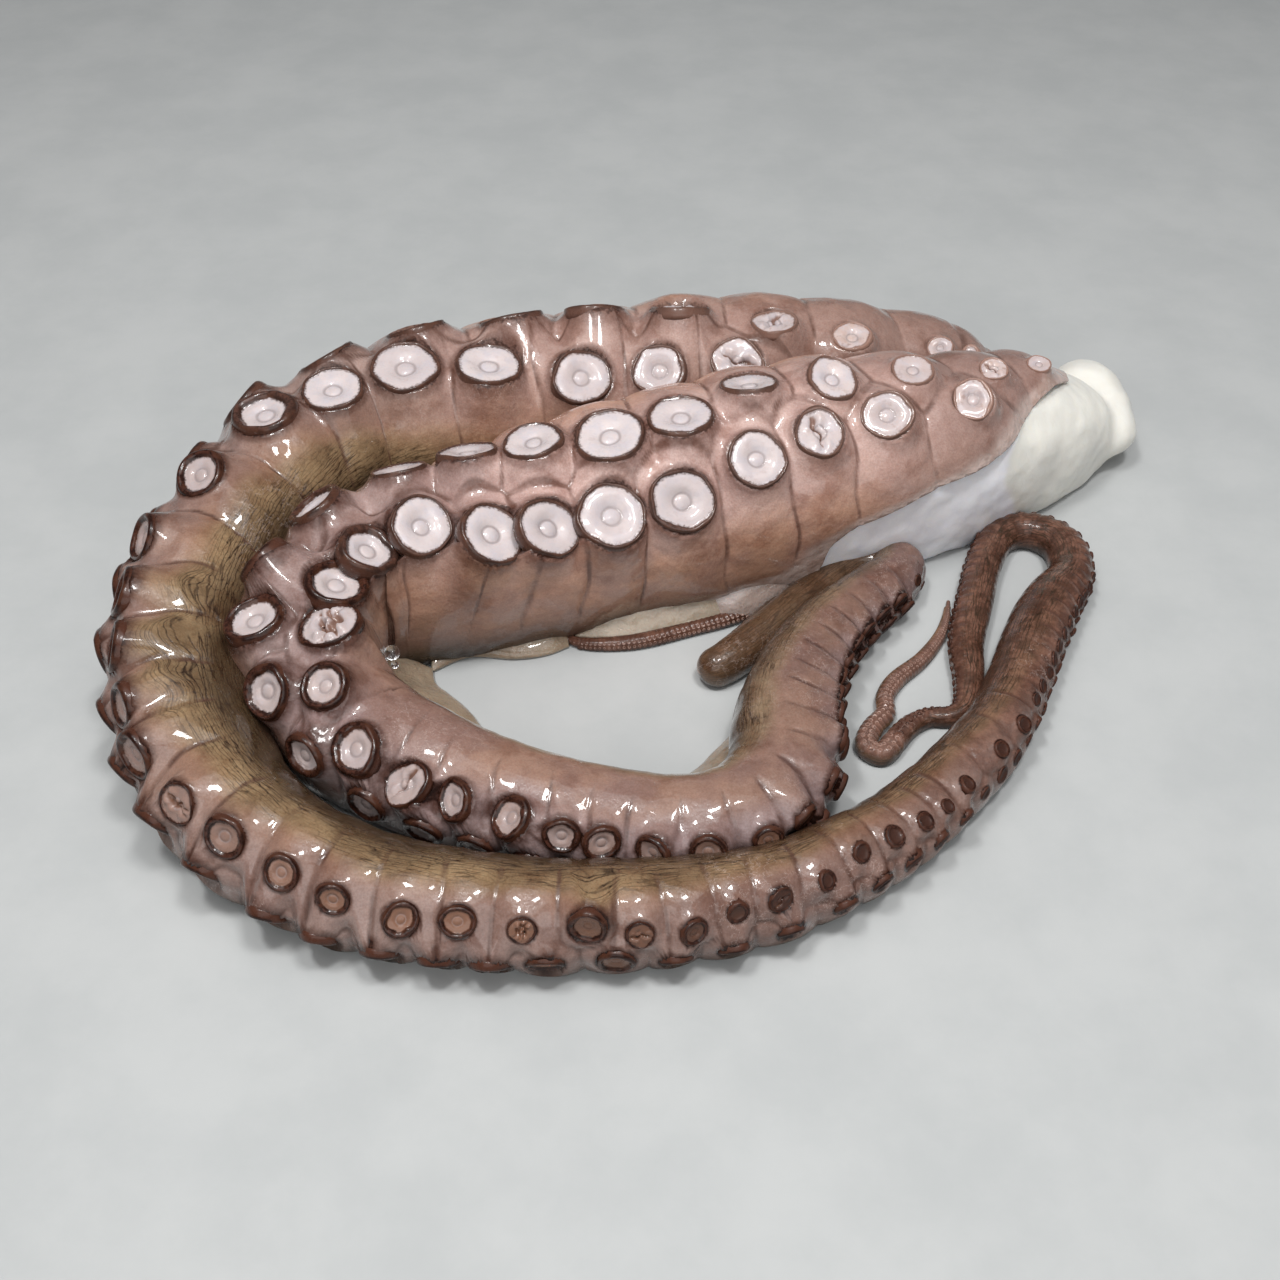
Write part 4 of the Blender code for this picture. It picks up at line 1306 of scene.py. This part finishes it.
# The webs' paints: two mingling colours, and the border's.
WEB_PAINTS = {
    "olive_web": ((0.27, 0.205, 0.145), (0.215, 0.155, 0.105), (0.36, 0.31, 0.25)),
    "glossy_web": ((0.40, 0.325, 0.25), (0.29, 0.225, 0.165), (0.44, 0.36, 0.30)),
    "pale_web": ((0.45, 0.37, 0.345), (0.34, 0.26, 0.225), (0.36, 0.27, 0.235)),
}

LINE_WARP = 0.0013      # metres that the back's lines stray
# The back's lines, short and long: squeeze along the arm, cells to a metre, and share.
LINES = ((0.045, 1350.0, 1.0), (0.28, 1100.0, 0.5))


def back_lines(paint, deep):
    """The dark net of fine lines on the back, and the hair-like lines along it."""
    follow = paint.node("ShaderNodeUVMap", {"uv_map": "along"})
    sockets = {"Vector": follow, "Scale": 210.0, "Detail": 4.0}
    warp = paint.node("ShaderNodeTexNoise", None, sockets, output=1)
    bent = paint.vector("ADD", follow, paint.vector("SCALE", warp, LINE_WARP))
    net = 0.0
    for squeeze, per_metre, share in LINES:
        sockets = {"Vector": bent, "Scale": (squeeze, 1.0, 1.0)}
        longer = paint.node("ShaderNodeMapping", None, sockets)
        cells = paint.node(
            "ShaderNodeTexVoronoi", {"feature": "DISTANCE_TO_EDGE", "voronoi_dimensions": "2D"},
            {"Vector": longer, "Scale": per_metre},
        )
        here = paint.noise(45.0 + per_metre / 20.0, 4.0, 0.65) + deep * 0.14
        net = paint.stretch(cells, 0.02, 0.13, share, 0.0) * paint.stretch(here, 0.34, 0.54) + net
    return net


def skin_paint():
    """Wet skin: pink and tan on the oral side, lined olive on the back, browner at the tips, with
    painted shade in its creases, gutter and underside.
    """
    paint = Paint("wet_skin", 0.42, 0.2, 0.10)
    back, deep, oral, base, thin = paint.attributes("back", "deep", "oral", "base", "thin")
    dark, crease, halo, bare = paint.attributes("darkness", "crease", "halo", "bare")
    grey, light = paint.attributes("grey", "light")
    fine = paint.noise(900.0, 4.0, 0.65)
    grain = paint.noise(2300.0, 2.0, 0.6)
    shade = paint.mix(oral * 0.9, FLANK, ORAL)
    shade = paint.mix(paint.clouds(60.0, 4.0, 0.6, 0.36, 0.64) * 0.55, shade, MAUVE)
    shade = paint.mix(base * 0.75, shade, BASE_PINK)
    olive = paint.mix(paint.clouds(70.0, 4.0, 0.6, 0.38, 0.66), OLIVE, DARK_OLIVE)
    shade = paint.mix(back, shade, olive)
    # Painted shade towards the gutter between the arms.
    shade = paint.mix(deep * 0.88, shade, GUTTER_SHADE)
    tip = paint.mix(paint.clouds(260.0, 4.0, 0.65, 0.42, 0.62), TIP_BROWN, TIP_FLECK)
    shade = paint.mix(thin, shade, tip)
    net = back_lines(paint, deep) * paint.stretch(back + deep * 0.6, 0.3, 1.3)
    specks = paint.clouds(1500.0, 2.0, 0.7, 0.60, 0.72) * back
    shade = paint.mix(net * 0.82, shade, LINE_BROWN)
    shade = paint.mix(specks * 0.4, shade, LINE_BROWN)
    # Painted shade in the creases between the swellings, broken up by noise and fainter on the
    # base.
    broken = paint.clouds(110.0, 3.0, 0.6, 0.38, 0.62, 0.30, 0.85) - base * 0.25
    shade = paint.mix(paint.stretch(crease, 0.12, 0.9) * broken, shade, CREASE_SHADE)
    # Brown round each rim: the rim's own brown, and painted shade under the disc.
    ring = halo * (1.0 + thin * 0.7) + (fine - 0.5) * 0.35
    shade = paint.mix(paint.stretch(ring, 0.42, 1.0) * dark * dark * 0.9, shade, HALO_AND_SHADE_BROWN)
    shade = paint.mix(paint.stretch(ring, 0.90, 1.02) * dark * 0.9, shade, RIM_BROWN)
    blotches = paint.clouds(310.0, 4.0, 0.65, 0.35, 0.65, 0.45, 0.0)
    shade = paint.mix(blotches, shade, BLOTCH_TINT, "MULTIPLY")
    shade = paint.mix(paint.stretch(grain, 0.36, 0.62, 0.42, 0.0), shade, GRAIN_TINT, "MULTIPLY")
    shade = paint.mix(grey, shade, GREY_TINT, "MULTIPLY")
    # Painted light and shade: the colour is scaled by the light field, which holds the painted
    # shade of the underside.
    shade = paint.vector("SCALE", shade, light)
    pale = bare + (paint.noise(200.0, 4.0, 0.6) - 0.5) * 0.5
    shade = paint.mix(paint.stretch(pale, 0.10, 0.90, 0.0, 0.80), shade, BARE_PINK)
    stains = paint.clouds(95.0, 5.0, 0.62, 0.50, 0.66, 0.0, 0.6)
    shade = paint.mix(stains, shade, STAIN_TINT, "MULTIPLY")
    # Fine pale scratches, where one noise crosses its middle.
    run = paint.noise(170.0, 5.0, 0.7)
    scratches = paint.stretch(run, 0.49, 0.50) * paint.stretch(run, 0.50, 0.51, 1.0, 0.0)
    scratches = scratches * paint.clouds(28.0, 1.0, 0.5, 0.57, 0.66)
    shade = paint.mix(scratches * 0.38, shade, BARE_PINK)
    wet = paint.stretch(paint.noise(120.0, 3.0, 0.6) + crease * 0.12, 0.44, 0.58)
    normal = paint.bump(paint.noise(230.0, 3.0), 0.50)
    normal = paint.bump(fine, 0.10, normal)
    normal = paint.bump(grain - net * 0.6, 0.03, normal)
    normal = paint.bump(paint.noise(380.0, 3.0) * bare, 0.8, normal)
    rough = paint.stretch(fine, 0.35, 0.65, 0.40, 0.52) - wet * 0.26
    coat = (wet * 0.5 + 0.5 - crease * 0.4) * (1.0 - thin * 0.5)
    coat = coat * (1.0 - halo * dark * 0.5)
    return paint.done(shade, normal, rough, coat)


def disc_paint():
    """A sucker's pale plate in its dark brown rim, with the skirt below it."""
    paint = Paint("sucker_disc", 0.30, 0.45, 0.06)
    zone, rho, crack, tone = paint.attributes("zone", "rho", "crack", "tone")
    whiteness, dark = paint.attributes("whiteness", "darkness")
    fine = paint.noise(900.0, 3.0, 0.65)
    ragged = zone + (paint.noise(1400.0, 3.0, 0.7) - 0.5) * 0.28
    plate = paint.mix(whiteness, TAN_PLATE, WHITE_PLATE)
    plate = paint.mix(paint.stretch(whiteness, 0.0, -0.8), plate, BROWN_PLATE)
    stained = paint.clouds(330.0, 4.0, 0.6, 0.40, 0.62)
    plate = paint.mix((1.0 - dark) * (stained * 0.4 + 0.7), plate, PINK_PLATE)
    spots = paint.clouds(420.0, 4.0, 0.65, 0.56, 0.66)
    plate = paint.mix(spots * (1.0 - dark) * 0.8, plate, PLATE_SPOT)
    cloudy = paint.clouds(260.0, 4.0, 0.6, 0.38, 0.70)
    plate = paint.mix(cloudy * whiteness * 0.6, plate, PLATE_CLOUD)
    plate = paint.mix(tone * whiteness * 0.5, plate, PLATE_TONE)
    ring = paint.stretch(rho, 0.21, 0.27) * paint.stretch(rho, 0.29, 0.36, 1.0, 0.0)
    plate = paint.mix(ring * paint.stretch(whiteness, -0.4, 0.4) * 0.7, plate, PLATE_RING)
    rim = paint.mix(paint.stretch(fine, 0.35, 0.65), RIM_BROWN, RIM_FLECK)
    rim = paint.mix(dark, PALE_RIM, rim)
    line = paint.mix(paint.clouds(280.0, 3.0, 0.5, 0.42, 0.62), RIM_BROWN, LINE_FLECK)
    line = paint.mix(dark, PALE_LINE, line)
    # The skirt under the rim takes the same brown, partly painted shade under the disc.
    skirt = paint.mix(dark, PALE_RIM, HALO_AND_SHADE_BROWN)
    shade = plate
    for start, end, colour in (
        (0.90, 1.04, line), (1.15, 1.35, rim), (1.60, 1.90, line), (2.20, 2.90, skirt),
    ):
        shade = paint.mix(paint.stretch(ragged, start, end), shade, colour)
    crack = paint.stretch(crack + (fine - 0.5) * 0.3, 0.2, 0.7)
    shade = paint.mix(crack * 0.85, shade, CRACK_BROWN)
    normal = paint.bump(paint.noise(420.0, 3.0), 0.12)
    rough = paint.stretch(fine, 0.35, 0.65, 0.24, 0.36)
    rough = rough + paint.stretch(whiteness, -0.2, -0.8, 0.0, 0.2)
    coat = paint.stretch(whiteness, -0.8, 0.2, 0.12, 0.5) * paint.stretch(zone, 1.4, 2.2, 1.0, 0.4)
    return paint.done(shade, paint.bump(fine, 0.04, normal), rough, coat)


def flesh_paint():
    """Cut flesh: creamy white, with the bluish lining where the skin was."""
    paint = Paint("cut_flesh", 0.40, 0.25, 0.5, (1.0, 0.85, 0.7))
    cream = paint.mix(paint.clouds(60.0, 3.0, 0.5, 0.35, 0.7), *CREAM)
    blue = paint.mix(paint.clouds(110.0, 4.0, 0.5, 0.35, 0.7), *LINING)
    shade = paint.mix(paint.attribute("lining"), cream, blue)
    return paint.done(shade, paint.bump(paint.noise(160.0, 4.0, 0.55), 0.3))


def web_paint(name, first, second, edge_colour):
    """Thin wet skin, paler at its border, with fine wrinkles."""
    paint = Paint(name, 0.22, 0.9, 0.2)
    shade = paint.mix(paint.clouds(90.0, 4.0, 0.5, 0.35, 0.68), first, second)
    shade = paint.mix(paint.stretch(paint.attribute("rim"), 0.35, 0.95) * 0.6, shade, edge_colour)
    normal = paint.bump(paint.noise(360.0, 4.0, 0.6), 0.80)
    return paint.done(shade, normal, paint.clouds(200.0, 3.0, 0.5, 0.4, 0.6, 0.10, 0.26))


def water_paint():
    paint = Paint("water", 0.02, 0.0)
    paint.shader.inputs["Transmission Weight"].default_value = 1.0
    return paint.done(WATER)


# --- Floor, lights and camera ----------------------------------------------------------------

def floor():
    bpy.ops.mesh.primitive_plane_add(size=6.0, location=(0.0, 0.0, 0.0))
    plane = bpy.context.object
    plane.name = "floor"
    paint = Paint("pale_floor", 0.55, 0.0)
    shade = paint.mix(paint.clouds(26.0, 6.0, 0.65, 0.3, 0.7), *FLOOR)
    plane.data.materials.append(paint.done(shade))


# Each light's name, place, what it is turned to, its sides in metres, and its power in watts.
LIGHTS = (
    ("overhead", (-0.03, -0.10, 0.72), (0.0, -0.04, 0.0), (0.80, 0.60), 2.5),
    ("front_fill", (0.02, -0.62, 0.42), (0.0, 0.0, 0.0), (0.90, 0.45), 2.4),
    ("panel_left", (-0.24, -0.14, 0.95), (0.0, 0.0, 0.0), (0.20, 0.11), 4.1),
    ("panel_right", (0.16, -0.16, 0.95), (0.0, 0.0, 0.0), (0.20, 0.11), 4.1),
)
SKY = (0.93, 0.96, 1.0, 1.0)
SKY_STRENGTH = 0.13


def studio():
    world = bpy.data.worlds.new("studio")
    bpy.context.scene.world = world
    world.use_nodes = True
    background = world.node_tree.nodes["Background"]
    background.inputs["Color"].default_value = SKY
    background.inputs["Strength"].default_value = SKY_STRENGTH
    for name, place, target, size, watts in LIGHTS:
        data = bpy.data.lights.new(name, "AREA")
        data.shape = "RECTANGLE"
        data.size, data.size_y = size
        data.energy = watts
        light = scene_object(name, data)
        light.location = place
        way = Vector(target) - Vector(place)
        light.rotation_euler = way.to_track_quat("-Z", "Y").to_euler()
    bpy.context.scene.view_settings.view_transform = "Standard"


CAMERA_DISTANCE = 0.37333
CAMERA_ELEVATION = math.radians(44.0)
LENS = 42.0
SENSOR_WIDTH = 36.0


def camera():
    """Looks at the tables' zero from the front, 44 degrees above the surface."""
    data = bpy.data.cameras.new("camera")
    data.lens = LENS
    data.sensor_width = SENSOR_WIDTH
    view = scene_object("camera", data)
    target = Vector((-MIDDLE[0], -MIDDLE[1], 0.0)) * MM
    away = Vector((0.0, -math.cos(CAMERA_ELEVATION), math.sin(CAMERA_ELEVATION)))
    view.location = target + away * CAMERA_DISTANCE
    view.rotation_euler = (math.pi / 2 - CAMERA_ELEVATION, 0.0, 0.0)
    bpy.context.scene.camera = view


# --- Putting it together ---------------------------------------------------------------------

TO_THE_END = math.inf


class Arm(NamedTuple):
    """A stretch of an arm, with the tables that its skin and its discs are made from."""

    name: str
    stations: tuple
    zones: tuple            # end, columns and spacing of each part of the skin's mesh
    thin: tuple
    rows: tuple = (((), ()), ((), ()))
    swell: tuple = EVERYWHERE
    broad_from: float = 0.0
    back: tuple = PLAIN_BACK
    light: tuple = EVERYWHERE
    grey: tuple = NOWHERE
    whiteness: tuple = NOWHERE


ARMS = (
    Arm(
        "outer_arm", OUTER_ARM, ((300.0, 144, 0.72), (TO_THE_END, 72, 0.70)), OUTER_THIN,
        ((OUTER_FAR_ROW, PRESSED_HEIGHT), (OUTER_NEAR_ROW, OUTER_HEIGHT)), OUTER_SWELL, 205.0,
        OUTER_BACK, OUTER_TONE_AND_LIGHT, NOWHERE, OUTER_WHITENESS,
    ),
    Arm(
        "inner_arm", INNER_ARM, ((260.0, 144, 0.56), (TO_THE_END, 72, 0.60)), INNER_THIN,
        ((INNER_FAR_ROW, INNER_HEIGHT), (INNER_NEAR_ROW, INNER_HEIGHT)), INNER_SWELL, 203.0,
        INNER_BACK, INNER_TONE_AND_LIGHT, INNER_GREY, INNER_WHITENESS,
    ),
    Arm("outer_tip", OUTER_TIP, ((TO_THE_END, 40, 0.35),), TIP_THIN),
    Arm("inner_return", INNER_RETURN, ((TO_THE_END, 64, 0.5),), RETURN_THIN, light=RETURN_TONE_AND_LIGHT),
    Arm("inner_fold", INNER_FOLD, ((TO_THE_END, 48, 0.45),), RETURN_THIN),
    Arm("inner_tip", INNER_TIP, ((TO_THE_END, 40, 0.35),), EVERYWHERE),
)


def build():
    camera()
    studio()
    floor()
    skin = skin_paint()
    shapes = disc_shapes()
    tree = disc_tree(disc_paint())
    for number, arm in enumerate(ARMS):
        route = Route(arm.stations)
        suckers = sucker_rows(route, arm.rows, arm.swell, arm.broad_from, 100 + number)
        mesh = skin_mesh(f"{arm.name}_skin", route, suckers, arm.zones)
        finish_fields(mesh, arm, 60 + 3 * number)
        if arm.name == "inner_arm":
            cut_skin(mesh)
            piece(cut_flesh(route), flesh_paint())
        piece(mesh, skin)
        if suckers:
            discs = disc_pieces(f"{arm.name}_suckers", suckers, arm.whiteness, shapes, tree)
            piece(discs)
    piece(drop_mesh(), water_paint())
    paints = {name: web_paint(name, *colours) for name, colours in WEB_PAINTS.items()}
    for name, rails, thickness, ruffle, paint in WEBS:
        piece(web_mesh(name, rails, thickness, ruffle, len(name)), paints[paint])


build()
